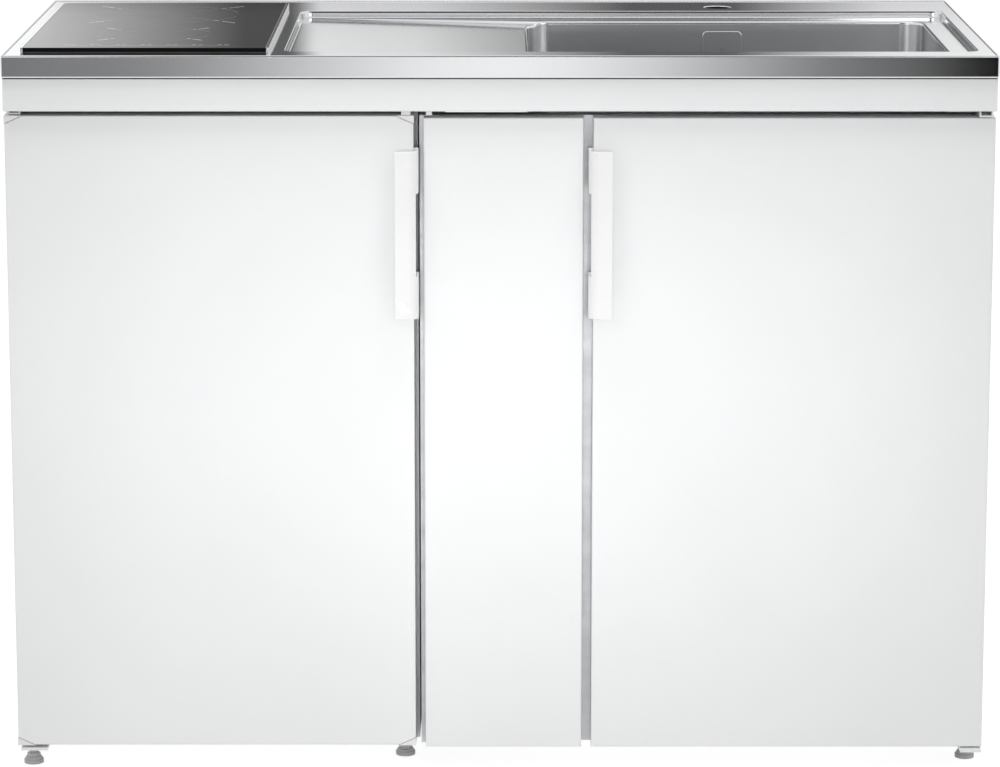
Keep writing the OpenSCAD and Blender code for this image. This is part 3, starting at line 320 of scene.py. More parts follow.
# %% Coats and plastics
def coat(name, tone_a, tone_b, rough_a, rough_b, peel_scale, bump, scale=6.0, **shader_values):
    mat, tree, shader, coords = new_material(name, **shader_values)
    tone_node = use(tree, uneven, coords, Scale=scale, Tone_A=tone_a, Tone_B=tone_b, Rough_A=rough_a,
                    Rough_B=rough_b)
    skin = use(tree, peel, coords, Scale=peel_scale)
    relief = add(tree, "ShaderNodeBump", {"Strength": bump, "Distance": 0.0003})
    wire(tree, (tone_node, "Color", shader, "Base Color"), (tone_node, "Roughness", shader, "Roughness"),
         (skin, "Height", relief, "Height"), (relief, "Normal", shader, "Normal"))
    return mat


white_coat = coat("white powder coat", (0.83, 0.835, 0.84, 1), (0.80, 0.805, 0.81, 1), 0.30, 0.38,
                  700.0, 0.10, 3.0)
handle_white = coat("white handle coat", (0.84, 0.84, 0.845, 1), (0.81, 0.81, 0.815, 1), 0.22, 0.28,
                    900.0, 0.05, 9.0)
cap_white = coat("white moulded plastic", (0.82, 0.82, 0.82, 1), (0.78, 0.78, 0.785, 1), 0.32, 0.42,
                 1600.0, 0.10, 25.0)
liner_white = coat("white liner plastic", (0.83, 0.84, 0.845, 1), (0.79, 0.80, 0.81, 1), 0.30, 0.40,
                   400.0, 0.08)
grey_plastic = coat("grey plastic", (0.55, 0.55, 0.54, 1), (0.47, 0.47, 0.465, 1), 0.38, 0.5,
                    1500.0, 0.15, 30.0)
rubber_grey = coat("gasket rubber", (0.62, 0.62, 0.62, 1), (0.54, 0.54, 0.545, 1), 0.55, 0.7,
                   1800.0, 0.2, 30.0)
rubber_black = coat("black rubber", (0.03, 0.03, 0.03, 1), (0.018, 0.018, 0.018, 1), 0.55, 0.7,
                    1800.0, 0.2, 40.0)
black_enamel = coat("black enamel", (0.02, 0.02, 0.022, 1), (0.03, 0.03, 0.032, 1), 0.3, 0.42,
                    600.0, 0.15, 12.0)
grey_coat = coat("grey coat", (0.50, 0.51, 0.52, 1), (0.44, 0.45, 0.46, 1), 0.35, 0.45, 700.0, 0.12, 8.0)
foam_yellow = coat("insulating foam", (0.75, 0.66, 0.42, 1), (0.66, 0.56, 0.33, 1), 0.85, 0.95,
                   350.0, 0.8, 30.0)
# The core board is coloured nearly black: painted shade where it shows inside the holes through the worktop.
board_painted_shade = coat("core board painted dark as shade", (0.020, 0.018, 0.016, 1), (0.012, 0.011, 0.010, 1), 0.7, 0.85,
                   420.0, 0.5, 60.0)
copper = coat("enamelled copper", (0.62, 0.27, 0.12, 1), (0.50, 0.20, 0.09, 1), 0.2, 0.32, 900.0, 0.1,
              30.0, Metallic=0.9)
circuit_green = coat("circuit board", (0.03, 0.16, 0.07, 1), (0.05, 0.22, 0.10, 1), 0.3, 0.4,
                     300.0, 0.2, 120.0)
print("coats and plastics ready")


# %% [markdown]
# ## Glass and clear plastic
# The hob is black glass ceramic: nearly no colour of its own, and a smooth surface that mirrors the room
# at a flat angle. Shelves and the drawer are see-through, so they use transmission.


# %% Glass materials
def clear(name, tint, rough_a, rough_b, ior):
    mat, tree, shader, coords = new_material(name, Transmission_Weight=1.0, IOR=ior)
    darker = tuple(v * 0.985 for v in tint[:3]) + (1,)
    tone_node = use(tree, uneven, coords, Scale=9.0, Tone_A=tint, Tone_B=darker, Rough_A=rough_a,
                    Rough_B=rough_b)
    wire(tree, (tone_node, "Color", shader, "Base Color"), (tone_node, "Roughness", shader, "Roughness"))
    return mat


shelf_glass = clear("shelf glass", (0.90, 0.97, 0.95, 1), 0.0, 0.03, 1.5)
clear_plastic = clear("clear plastic", (0.93, 0.96, 0.98, 1), 0.03, 0.09, 1.49)
hob_black = coat("black glass ceramic", (0.006, 0.006, 0.007, 1), (0.010, 0.010, 0.011, 1), 0.03, 0.07,
                 500.0, 0.01, 9.0, IOR=1.52)
print("glass:", shelf_glass.name, clear_plastic.name, hob_black.name)

# %% [markdown]
# ## Dressing the exact pieces
# Pieces whose plain shape is right keep it and only get a material. The table below says which finish
# each piece has on the real object. Pieces that are made again later on are in it too, so that nothing
# is ever left without a finish.

# %% Materials for the exact pieces
FINISH = {
    deck_steel: ["worktop_sheet"],
    bowl_steel: ["sink_bowl", "overflow_plate"],
    bright_steel: ["waste_body", "strainer_basket", "hob_trims"],
    zinc_steel: ["hob_case", "fridge_base", "wall_rail", "cabinet_side_left", "cabinet_side_right",
                 "cabinet_floor", "cabinet_back", "cabinet_rails", "front_post"],
    white_coat: ["fascia", "frame_rails", "fridge_shell", "fridge_door_skin", "filler_panel",
                 "cabinet_door_skin", "cabinet_door_inner"],
    handle_white: ["fridge_handle", "cabinet_handle", "fridge_hinges", "cabinet_hinges"],
    cap_white: ["door_corner_caps", "fridge_door_bushes", "cabinet_door_bushes", "magnet_catch",
                "thermostat_housing", "thermostat_knob", "bottle_trap", "rest_blocks"],
    liner_white: ["fridge_liner", "fridge_door_liner"],
    grey_plastic: ["overflow_pipe", "waste_pipe"],
    rubber_grey: ["door_gasket"],
    rubber_black: ["hob_seal"],
    black_enamel: ["compressor", "condenser"],
    grey_coat: ["fridge_back"],
    foam_yellow: ["fridge_foam"],
    board_painted_shade: ["worktop_core"],
    copper: ["hob_coils"],
    circuit_green: ["hob_electronics"],
    shelf_glass: ["glass_shelves"],
    clear_plastic: ["door_racks", "crisper_drawer"],
    hob_black: ["hob_glass"],
}
dressed = {}
for mat, names in FINISH.items():
    for name in names:
        dressed[name] = mat
for name in frame["nodes"]:
    if name.startswith("foot_"):
        dressed[name] = grey_plastic
for name, node in frame["nodes"].items():
    node.data.materials.clear()
    node.data.materials.append(dressed[name])
print(len(dressed), "exact pieces dressed of", len(frame["nodes"]))

# %% [markdown]
# ## Building with rings
# Most of the pieces below are lofts: a closed outline is repeated at several heights and offsets, and
# neighbouring outlines are joined with quads. Close rings make a crisp rounded edge. Flat parts with
# holes in them are filled by a constrained triangulation, which keeps every outline it is given.


# %% Ring helpers
def rounded_outline(x0, x1, d0, d1, r, steps=8):
    """Outline of a rectangle with round corners, seen from above, anticlockwise."""
    points = []
    corners = ((x1 - r, d1 - r, 0), (x0 + r, d1 - r, 90), (x0 + r, d0 + r, 180), (x1 - r, d0 + r, 270))
    for cx, cd, start in corners:
        for i in range(steps + 1):
            a = math.radians(start + 90 * i / steps)
            points.append((cx + r * math.cos(a), cd + r * math.sin(a)))
    return points


def grown(rect, r, g, steps=8):
    """The same outline, g millimetres further out (or in, where g is negative)."""
    x0, x1, d0, d1 = rect
    return rounded_outline(x0 - g, x1 + g, d0 - g, d1 + g, max(r + g, 0.15), steps)


def circle_outline(x, d, r, steps=48):
    return [(x + r * math.cos(2 * math.pi * i / steps), d + r * math.sin(2 * math.pi * i / steps))
            for i in range(steps)]


def ring(bm, outline, z):
    """Vertices of an outline at one height."""
    return [bm.verts.new(at(x, d, z)) for x, d in outline]


def skin(bm, a, b, material_index=0):
    """Quads between two rings of the same count."""
    n = len(a)
    for i in range(n):
        j = (i + 1) % n
        face = bm.faces.new((a[i], a[j], b[j], b[i]))
        face.material_index = material_index


def loft(bm, outlines, material_index=0):
    """Rings at several heights, joined in order."""
    rings = [ring(bm, outline, z) for outline, z in outlines]
    for a, b in zip(rings, rings[1:]):
        skin(bm, a, b, material_index)


def inside(point, outline):
    """Whether a point lies inside an outline."""
    x, y = point
    hit = False
    for (ax, ay), (bx, by) in zip(outline, outline[1:] + outline[:1]):
        if (ay > y) != (by > y) and x < (bx - ax) * (y - ay) / (by - ay) + ax:
            hit = not hit
    return hit


def sheet_with_holes(bm, outer, holes, lines=(), height=None, material_index=0):
    """Triangles over an outline with holes. Extra lines stay as creases. height(x, d) gives z."""
    points, edges = [], []
    for loop, closed in [(outer, True)] + [(h, True) for h in holes] + [(s, False) for s in lines]:
        start = len(points)
        points += loop
        count = len(loop)
        edges += [(start + i, start + (i + 1) % count) for i in range(count if closed else count - 1)]
    flat = [Vector(p) for p in points]
    verts, _, faces, *_ = delaunay_2d_cdt(flat, edges, [], 1, 1e-4)
    made = {}
    for face in faces:
        cx = sum(verts[i].x for i in face) / len(face)
        cy = sum(verts[i].y for i in face) / len(face)
        if not inside((cx, cy), outer) or any(inside((cx, cy), h) for h in holes):
            continue
        corner = []
        for i in face:
            if i not in made:
                made[i] = bm.verts.new(at(verts[i].x, verts[i].y, height(verts[i].x, verts[i].y)))
            corner.append(made[i])
        bm.faces.new(corner).material_index = material_index
    return list(made.values())


print("ring helpers ready")

# %% [markdown]
# A finished mesh becomes a piece in one place: doubles are merged, all faces are turned outwards, the
# object is linked at the origin, it is told which moving body it rides on, and the exact pieces it
# stands for are hidden. A thin sheet keeps a live Solidify modifier that gives it its thickness.


# %% From mesh to piece
def piece(bm, name, materials, body, replaces=(), wall=None, smooth=True):
    """Turns a finished bmesh into a piece that rides on a body and stands for exact pieces."""
    bmesh.ops.remove_doubles(bm, verts=bm.verts[:], dist=2e-6)
    bmesh.ops.recalc_face_normals(bm, faces=bm.faces[:])
    mesh = mesh_of(bm, name)
    for mat in materials:
        mesh.materials.append(mat)
    if smooth:
        mesh.shade_smooth()
    obj = stand(name, mesh)
    if wall:
        thick = obj.modifiers.new("sheet thickness", "SOLIDIFY")
        thick.thickness = wall * MM
        thick.offset = -1.0
        thick.use_even_offset = True
        thick.use_rim = True
    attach(obj, body)
    if replaces:
        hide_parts(*replaces)
    print(f"{name}: {len(mesh.polygons)} faces")
    return obj


# %% [markdown]
# ## Softened copies
# Many exact pieces are right but for their knife-sharp edges. A copy of such a piece is merged, its flat
# faces are joined, and a small Bevel rounds every edge that is sharper than 30 degrees. Weighted normals
# keep the flat faces flat to the eye, so that only the thin bevels catch the light.


# %% Soften helper
BODY = {name: body for body, names in frame["record"]["behaviour"]["bodies"].items() for name in names}


def soften(name, width, rounds=(), segments=2, move=None):
    """A copy of an exact piece with rounded edges, which stands for it.

    width is the small radius on every sharp edge. rounds names larger ones that are made first, as
    (test, radius, segments). A test gets both ends of an edge in millimetres. move may shift points a
    little before that, because normals are only right if nothing moves after them."""
    bm = bmesh.new()
    bm.from_mesh(frame["nodes"][name].data)
    if move:
        for v in bm.verts:
            v.co = at(*move(*to_mm(v.co)))
    bmesh.ops.remove_doubles(bm, verts=bm.verts[:], dist=1e-5)
    bmesh.ops.dissolve_limit(bm, angle_limit=math.radians(0.6), verts=bm.verts[:], edges=bm.edges[:],
                             use_dissolve_boundaries=False)
    for test, radius, steps in rounds:
        chosen = [e for e in bm.edges if len(e.link_faces) == 2 and e.calc_face_angle(0.0) > 0.5
                  and test(to_mm(e.verts[0].co), to_mm(e.verts[1].co))]
        bmesh.ops.bevel(bm, geom=chosen, offset=radius * MM, segments=steps, profile=0.5, affect="EDGES",
                        clamp_overlap=True)
    mesh = mesh_of(bm, name + "_soft")
    mesh.materials.clear()
    mesh.materials.append(dressed[name])
    mesh.shade_smooth()
    obj = stand(name + "_soft", mesh)
    bevel = obj.modifiers.new("round edges", "BEVEL")
    bevel.width = width * MM
    bevel.segments = segments
    bevel.limit_method = "ANGLE"
    bevel.angle_limit = math.radians(30)
    bevel.use_clamp_overlap = True
    keep_flat(obj)
    apply_modifiers(obj)
    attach(obj, BODY[name])
    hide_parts(name)
    return obj


print("soften helper ready; the handle rides on", BODY["fridge_handle"])

# %% [markdown]
# ## The worktop and bowl
# The worktop is one sheet of steel. Its edges are folded down, a low drip bead runs round it, a shallow
# recess is pressed round the sink, the drainer slopes down inside that recess, and the bowl is welded in
# and ground flush, so that there is no seam to see. It is therefore built as one skin, from the
# underside of the apron over the bead and the deck down to the bowl's floor.

# %% Sizes of the worktop
HALF_W, DEPTH, DECK, APRON = 600.0, 600.0, 900.0, 874.0
OUTER = (-HALF_W, HALF_W, 0.0, DEPTH)
RECESS = (-261.0, 581.0, 50.0, 484.0)
RECESS_R, RECESS_Z = 15.0, 892.0
# The recess wall leans in by these angles above and below its break, and ends in a small round.
UPPER_TILT, LOWER_TILT, FOOT_R = 23.0, 7.5, 1.6
BOWL = (35.0, 550.0, 83.0, 433.0)
BOWL_R, BOWL_FILLET, BOWL_FLOOR = 28.0, 14.0, 723.0
DRAIN_X, DRAIN_DROP = -254.0, 5.0
DRAIN_FRONT, DRAIN_BACK, DRAIN_END = (62.0, 86.0), (470.0, 430.0), 63.0
TAP_X, TAP_D, TAP_R = 289.0, 528.0, 17.5
HOLE_X, HOLE_D, HOLE_R = 292.5, 258.0, 44.0
HOB_HOLE = (-564.5, -294.5, 50.0, 501.0)
print("recess", RECESS, "bowl", BOWL)


# %% [markdown]
# The drainer is a tilted plane inside the flat recess. It starts level with the recess at the foot of the
# left wall, and its right end is 5 mm lower, where the water runs into the bowl. A function gives the
# height at any point, and a smooth step over 5 mm joins the plane to the recess.


# %% Height of the recess
def drainer_line(g):
    """Front and back edges of the drainer, g millimetres further out."""
    front = [(DRAIN_X, DRAIN_FRONT[0] - g), (DRAIN_END, DRAIN_FRONT[1] - g)]
    back = [(DRAIN_X, DRAIN_BACK[0] + g), (DRAIN_END, DRAIN_BACK[1] + g)]
    return front, back


def into_drainer(x, d):
    """How far a point lies inside the drainer's front and back edges."""
    part = (x - DRAIN_X) / (DRAIN_END - DRAIN_X)
    front = DRAIN_FRONT[0] + part * (DRAIN_FRONT[1] - DRAIN_FRONT[0])
    back = DRAIN_BACK[0] + part * (DRAIN_BACK[1] - DRAIN_BACK[0])
    return min(d - front, back - d)


def recess_height(x, d):
    run = max(0.0, min(1.0, (x - DRAIN_X) / (BOWL[0] - DRAIN_X)))
    across = max(0.0, min(1.0, (into_drainer(x, d) + 2.5) / 5.0))
    past = max(0.0, min(1.0, (x - BOWL[0] + 12.0) / (2 * BOWL_R)))
    ease = across * across * (3 - 2 * across) * (1 - past * past * (3 - 2 * past))
    return RECESS_Z - DRAIN_DROP * run * ease


print("drainer falls to", round(recess_height(34, 250), 2))

# %% The folded edge, the drip bead and the deck
bm = bmesh.new()
edge = [(-12, 874.0), (-2.0, 874.0), (-0.9, 874.1), (-0.3, 874.5), (0, 875.2), (0, 875.9), (0, 898.6),
        (0, 899.4), (-0.3, 900.3), (-0.9, 900.9), (-1.7, 901.2), (-2.3, 901.2), (-2.55, 901.15),
        (-2.75, 901.0), (-3.1, 900.2), (-3.3, 900.04), (-3.6, 900.0), (-4.2, 900.0)]
loft(bm, [(grown(OUTER, 1.8, g, 3), z) for g, z in edge])
deck_outer = grown(OUTER, 1.8, -4.2, 3)
pressed = [(1.9, 900.0), (1.3, 900.0), (0.8, 899.93), (0.4, 899.72), (0.15, 899.45), (0.08, 899.3)]
g, z = pressed[-1]
low = math.radians(LOWER_TILT)
foot_top = RECESS_Z + FOOT_R * (1 - math.sin(low))
for tilt_to, z_to in ((UPPER_TILT, 897.7), (UPPER_TILT, 897.55), (LOWER_TILT, 897.35),
                      (LOWER_TILT, foot_top + 0.15), (LOWER_TILT, foot_top)):
    g -= (z - z_to) * math.tan(math.radians(tilt_to))
    z = z_to
    pressed.append((g, z))
FOOT_G = g - FOOT_R * math.cos(low)
for i in range(1, 6):
    a = low + (math.pi / 2 - low) * i / 5
    pressed.append((FOOT_G + FOOT_R * math.cos(a), RECESS_Z + FOOT_R * (1 - math.sin(a))))
pressed.append((FOOT_G - 0.7, RECESS_Z))
print("the recess wall is", round(1.9 - FOOT_G, 1), "mm wide from above")
loft(bm, [(grown(RECESS, RECESS_R, g), z) for g, z in pressed])
tap_edge = [(2.2, 900.0), (1.6, 900.0), (0.8, 899.8), (0.2, 899.3), (0, 898.6)]
loft(bm, [(circle_outline(TAP_X, TAP_D, TAP_R + g), z) for g, z in tap_edge])
sheet_with_holes(
    bm, deck_outer,
    [grown(RECESS, RECESS_R, 1.9), circle_outline(TAP_X, TAP_D, TAP_R + 2.2),
     [(HOB_HOLE[0], HOB_HOLE[2]), (HOB_HOLE[1], HOB_HOLE[2]), (HOB_HOLE[1], HOB_HOLE[3]),
      (HOB_HOLE[0], HOB_HOLE[3])]],
    height=lambda x, d: DECK)
print("deck and edge:", len(bm.faces), "faces")

# %% [markdown]
# Between the recess wall and the bowl's rim lies the recess floor with the drainer in it. The drainer's
# edges go into the triangulation as extra lines, so the smooth step follows them. The rim is found
# afterwards as the open edge round the bowl, and each of its points is moved in and down, step by step.

# %% The recess floor and the bowl's rim
rim_outline = grown(BOWL, BOWL_R, 3.6, 12)
crease = []
for g in (3.4, 2.5, 1.2, -1.2, -2.5, -3.4):
    crease += drainer_line(g)
sheet_with_holes(bm, grown(RECESS, RECESS_R, FOOT_G - 0.7), [rim_outline], crease, recess_height)
bmesh.ops.remove_doubles(bm, verts=bm.verts[:], dist=2e-6)


def near_rim(v):
    x, d, z = to_mm(v.co)
    return 884 < z < 892.01 and BOWL[0] - 4 < x < BOWL[1] + 4 and BOWL[2] - 4 < d < BOWL[3] + 4


open_edges = [e for e in bm.edges if e.is_boundary and all(near_rim(v) for v in e.verts)]
chain = [open_edges[0].verts[0], open_edges[0].verts[1]]
left = set(open_edges[1:])
while left:
    step = next((e for e in left if chain[-1] in e.verts), None)
    if step is None:
        break
    left.discard(step)
    chain.append(step.other_vert(chain[-1]))
if chain[0] == chain[-1]:
    chain.pop()
print("rim has", len(chain), "points,", len(left), "left over")


# %% Roll the rim into the bowl
def on_bowl(x, d, g):
    """The nearest point of the bowl's outline, g millimetres outside it."""
    cx = min(max(x, BOWL[0] + BOWL_R), BOWL[1] - BOWL_R)
    cd = min(max(d, BOWL[2] + BOWL_R), BOWL[3] - BOWL_R)
    vx, vd = x - cx, d - cd
    size = math.hypot(vx, vd)
    return cx + vx / size * (BOWL_R + g), cd + vd / size * (BOWL_R + g)


base_points = [to_mm(v.co) for v in chain]
last = chain
for g, drop in ((3.0, 0.0), (2.0, 0.3), (1.1, 0.9), (0.4, 1.8), (0.05, 2.9), (0.0, 4.0)):
    fresh = []
    for x, d, z in base_points:
        px, pd = on_bowl(x, d, g)
        fresh.append(bm.verts.new(at(px, pd, z - drop)))
    skin(bm, last, fresh)
    last = fresh
WALL_DRAFT, FLOOR_EDGE = -1.2, BOWL_FLOOR + 0.6
walls = [(0.0, 880.0), (WALL_DRAFT / 2, 800.0), (WALL_DRAFT, 742.0)]
for i in range(1, 9):
    a = math.radians(90 * i / 8)
    walls.append((WALL_DRAFT - BOWL_FILLET * (1 - math.cos(a)),
                  FLOOR_EDGE + BOWL_FILLET * (1 - math.sin(a))))
walls.append((WALL_DRAFT - BOWL_FILLET - 1.0, FLOOR_EDGE))
for g, z in walls:
    fresh = []
    for x, d, _ in base_points:
        px, pd = on_bowl(x, d, g)
        fresh.append(bm.verts.new(at(px, pd, z)))
    skin(bm, last, fresh, 1)
    last = fresh


def in_corner(x, d):
    return min(x - BOWL[0], BOWL[1] - x) < BOWL_R - 1 and min(d - BOWL[2], BOWL[3] - d) < BOWL_R - 1


for face in bm.faces:
    if face.material_index == 1 and in_corner(*to_mm(face.calc_center_median())[:2]):
        face.material_index = 2
print("bowl walls done, floor edge at", walls[-1])

# %% [markdown]
# The bowl's floor falls a little towards the waste. It is a fan of rings that change from the bowl's
# outline to a circle, so the fall is even on all sides.

# %% The bowl's floor
floor_points = [to_mm(v.co) for v in last]
for part, rise in ((0.06, 0.5), (0.45, 0.25), (0.9, 0.02), (1.0, 0.0)):
    fresh = []
    for x, d, _ in floor_points:
        away = math.hypot(x - HOLE_X, d - HOLE_D)
        k = (away + (HOLE_R + 0.2 - away) * part) / away
        fresh.append(bm.verts.new(at(HOLE_X + (x - HOLE_X) * k, HOLE_D + (d - HOLE_D) * k,
                                     BOWL_FLOOR + rise)))
    skin(bm, last, fresh, 1)
    last = fresh
worktop = piece(bm, "worktop_and_bowl", [deck_steel, bowl_steel, corner_steel], "unit",
                replaces=("worktop_sheet", "sink_bowl"), wall=1.0)

# %% [markdown]
# Recalculated normals of an open skin may point either way. The deck must face up, so this cell looks at
# one large deck face and flips the whole skin if it faces down.


# %% Check the facing
def face_up(obj, x, depth, z):
    """Flips an open skin if its face nearest to a point looks down."""
    target = at(x, depth, z)
    best = min(obj.data.polygons, key=lambda p: (p.center - target).length)
    if best.normal.z < 0:
        obj.data.flip_normals()
        return "flipped"
    return "kept"


print("worktop skin:", face_up(worktop, 0, 540, 900))


# %% [markdown]
# A mirror shows every error of shading. Smooth shading alone bends the light near each rounded edge, so
# the flat deck would look like a pillow. Weighted normals let the large faces decide, and only the narrow
# rounds turn. The sheet's thickness and these normals are then made part of the mesh.


# %% Keep flat faces flat
keep_flat(worktop)
print(worktop.name, "has", len(apply_modifiers(worktop).polygons), "faces")

# %% [markdown]
# ## Doors, filler and caps
# Each door is a pan of 1 mm steel, folded at a press brake, so its front edges are round. The round is
# small, but it is what draws the thin darker line along every door in the photograph. The exact pan is
# kept and its front edges are rounded with 1.6 mm. The corner caps of the refrigerator door are moulded
# and stand half a millimetre proud.


# %% Pressed doors
def front_edges(x0, x1, depth, z0, z1):
    """A test that picks the four front edges of a box."""
    def test(a, b):
        def both(i, value):
            return abs(a[i] - value) < 0.05 and abs(b[i] - value) < 0.05
        return both(1, depth) and (both(0, x0) or both(0, x1) or both(2, z0) or both(2, z1))
    return test


FOLD_R = 1.6
for name in ("fridge_door_skin", "filler_panel", "cabinet_door_skin"):
    x0, x1, d0, _, z0, z1 = mm_box(name)
    done = soften(name, 0.35, [(front_edges(x0, x1, d0, z0, z1), FOLD_R, 4)])
    print(done.name, len(done.data.polygons), "faces")

# %% [markdown]
# The fascia is folded too. Its top is lifted by half of the gap under the apron, so that the line there
# is thin, and its top edge stays sharp. The glass is ground dull along its edges and lies a hair lower
# than the trims. Points only move before the normals are made, or the faces would look bent.

# %% The fascia and the hob glass
x0, x1, d0, _, z0, z1 = mm_box("fascia")
fascia_lift = (APRON - z1) * 0.5
NO_EDGE = -1
soften("fascia", 0.3, [(front_edges(x0, x1, d0, z0, NO_EDGE), 1.2, 3)],
       move=lambda x, d, z: (x, d, z + fascia_lift if z > z1 - 1 else z))
print("fascia raised into its gap by mm", round(fascia_lift, 2))
GLASS_TOP = mm_box("hob_glass")[5] - 0.06
glass = soften("hob_glass", 0.8, segments=3, move=lambda x, d, z: (x, d, min(z, GLASS_TOP)))
edge_mat = coat("ground glass edge", (0.003, 0.003, 0.003, 1), (0.005, 0.005, 0.005, 1), 0.45, 0.6, 900.0,
                0.1, 40.0, Specular_IOR_Level=0.05)
glass.data.materials.append(edge_mat)
for face in glass.data.polygons:
    if face.normal.z < 0.3:
        face.material_index = 1
print("glass top at", round(GLASS_TOP, 2))

# %% [markdown]
# ## The other edges
# Sheet steel is cut and deburred, so its edges are nearly sharp. Mouldings have wider rounds, because
# plastic flows badly into sharp corners. The table gives each piece its own radius. The liner of the
# refrigerator is drawn from one sheet of plastic, so its inside corners get a much larger one.

# %% Rounded edges for all other pieces
EDGE_RADIUS = {
    0.2: ["frame_rails", "wall_rail", "fridge_shell", "fridge_base", "fridge_back", "cabinet_side_left",
          "cabinet_side_right", "cabinet_floor", "cabinet_back", "cabinet_rails", "front_post",
          "cabinet_door_inner", "hob_case", "hob_electronics", "fridge_door_liner"],
    0.3: ["hob_trims", "waste_body", "strainer_basket", "hob_seal", "rest_blocks", "waste_pipe"],
    0.45: ["door_corner_caps", "fridge_hinges", "cabinet_hinges", "glass_shelves",
           "fridge_door_bushes", "cabinet_door_bushes"],
    0.7: ["fridge_handle", "cabinet_handle", "crisper_drawer", "door_racks", "thermostat_housing",
          "thermostat_knob", "magnet_catch", "bottle_trap", "overflow_pipe", "compressor"],
    0.5: [name for name in frame["nodes"] if name.startswith("foot_")],
}
for radius, names in EDGE_RADIUS.items():
    for name in names:
        soften(name, radius)
    print(radius, "mm:", len(names), "pieces")

# %% The overflow cover's rolled edge and its painted highlight
ox0, ox1, od0, *_ = mm_box("overflow_plate")
cover = soften("overflow_plate", 0.3, [(lambda a, b: max(abs(a[1] - od0), abs(b[1] - od0)) < 0.05, 1.2, 4)])
# The rounded edge is real. The brighter, smoother bright steel on it is a painted highlight that draws the
# cover's outline.
cover.data.materials.append(bright_steel)
for face in cover.data.polygons:
    if face.normal.y > -0.97:
        face.material_index = 1
print("overflow cover", round(ox1 - ox0), "mm wide")

# %% The liner's corners
CAV_X0, CAV_X1 = (v - s for v, s in zip(mm_box("fridge_liner")[:2], (-1.5, 1.5)))


def liner_corners(a, b):
    """Inside corners that run back or up, and the one under the ceiling."""
    on_side = all(min(abs(p[0] - CAV_X0), abs(p[0] - CAV_X1)) < 0.05 for p in (a, b))
    along_x = abs(a[0] - b[0]) > 100
    return (on_side and not along_x) or (along_x and min(a[2], b[2]) > 780 and min(a[1], b[1]) > 500)


soften("fridge_liner", 0.4, [(liner_corners, 7.0, 5)])
print("liner from", round(CAV_X0), "to", round(CAV_X1))

# %% [markdown]
# ## The door's seal
# A refrigerator door closes on a hollow rubber seal with a magnet in it. Its bellows fold flat as the door
# shuts. The profile below is drawn once, as steps inwards from the seal's outer edge and depths behind
# the door. It is then carried round the four sides, mitred at the corners.

# %% Seal with bellows
sx0, sx1, sd0, sd1, sz0, sz1 = mm_box("door_gasket")
SEAL_D = 6.7
SEAL_PROFILE = [(0.8, 0.0), (0.3, 0.5), (0.3, 1.6), (1.6, 2.3), (1.6, 2.9), (0.0, 3.5), (0.0, 5.6),
                (0.7, 6.5), (1.4, SEAL_D), (12.6, SEAL_D), (13.3, 6.5), (14.0, 5.6), (14.0, 3.5),
                (12.4, 2.9), (12.4, 2.3), (13.7, 1.6), (13.7, 0.5), (13.2, 0.0)]
bm = bmesh.new()
loops = []
for inset, rise in SEAL_PROFILE:
    depth = sd0 + rise * (sd1 - sd0) / SEAL_D
    loops.append([bm.verts.new(at(x, depth, z)) for x, z in (
        (sx0 + inset, sz0 + inset), (sx1 - inset, sz0 + inset), (sx1 - inset, sz1 - inset),
        (sx0 + inset, sz1 - inset))])
for a, b in zip(loops, loops[1:] + loops[:1]):
    skin(bm, a, b)
piece(bm, "door_seal_bellows", [rubber_grey], "fridge_door", replaces=["door_gasket"],
      smooth=False)

# %% [markdown]
# ## Repeated details with Geometry Nodes
# Screws, wires, threads and printed dashes repeat. Each kind is one node tree with named inputs. A helper
# gives the tree to an object, sets the inputs, and turns the result into a plain mesh, because a piece
# must not depend on a live modifier when it is exported.


# %% Geometry Nodes helpers
def new_tree(name, inputs):
    """A geometry tree with a Geometry input and output, and further named inputs."""
    tree = bpy.data.node_groups.new(name, "GeometryNodeTree")
    tree.interface.new_socket(name="Geometry", in_out="INPUT", socket_type="NodeSocketGeometry")
    for label, kind, value in inputs:
        socket = tree.interface.new_socket(name=label, in_out="INPUT", socket_type="NodeSocket" + kind)
        if value is not None:
            socket.default_value = value
    tree.interface.new_socket(name="Geometry", in_out="OUTPUT", socket_type="NodeSocketGeometry")
    return tree, add(tree, "NodeGroupInput"), add(tree, "NodeGroupOutput")


def end_tree(tree, last, g_in, g_out):
    """Ends a tree: what last gives is made real, gets the material and goes out."""
    real = add(tree, "GeometryNodeRealizeInstances")
    paint = add(tree, "GeometryNodeSetMaterial")
    wire(tree, (last, 0, real, 0), (real, 0, paint, 0), (g_in, "Material", paint, "Material"),
         (paint, 0, g_out, 0))
    print(tree.name, "has", len(tree.nodes), "nodes")


def grow(tree, source, name, body, slot, **values):
    """Runs a tree on a mesh of points or lines, and makes a plain piece from what comes out."""
    obj = stand(name, source)
    mod = obj.modifiers.new(tree.name, "NODES")
    mod.node_group = tree
    for item in tree.interface.items_tree:
        key = item.name.replace(" ", "_")
        if item.in_out == "INPUT" and key in values:
            mod[item.identifier] = values[key]
    done = apply_modifiers(obj)
    done.materials.clear()
    done.materials.append(values["Material"])
    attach(obj, body)
    print(f"{name}: {len(done.polygons)} faces of {done.materials[0].name}")
    return obj


def lines_mesh(name, lines):
    """A mesh of edges only, from lists of points in millimetres."""
    verts, edges = [], []
    for line in lines:
        start = len(verts)
        verts += [at(*p) for p in line]
        edges += [(start + i, start + i + 1) for i in range(len(line) - 1)]
    mesh = bpy.data.meshes.new(name)
    mesh.from_pydata(verts, edges, [])
    return mesh


print("geometry helpers ready")

# %% [markdown]
# ### Printed strokes
# The hob's marks are a ceramic print that is fired onto the glass. A stroke is a part of a guide line,
# laid flat as a thin strip. Start and End are shares of the line, so one guide gives a long faint line,
# a short dash and a strong end.

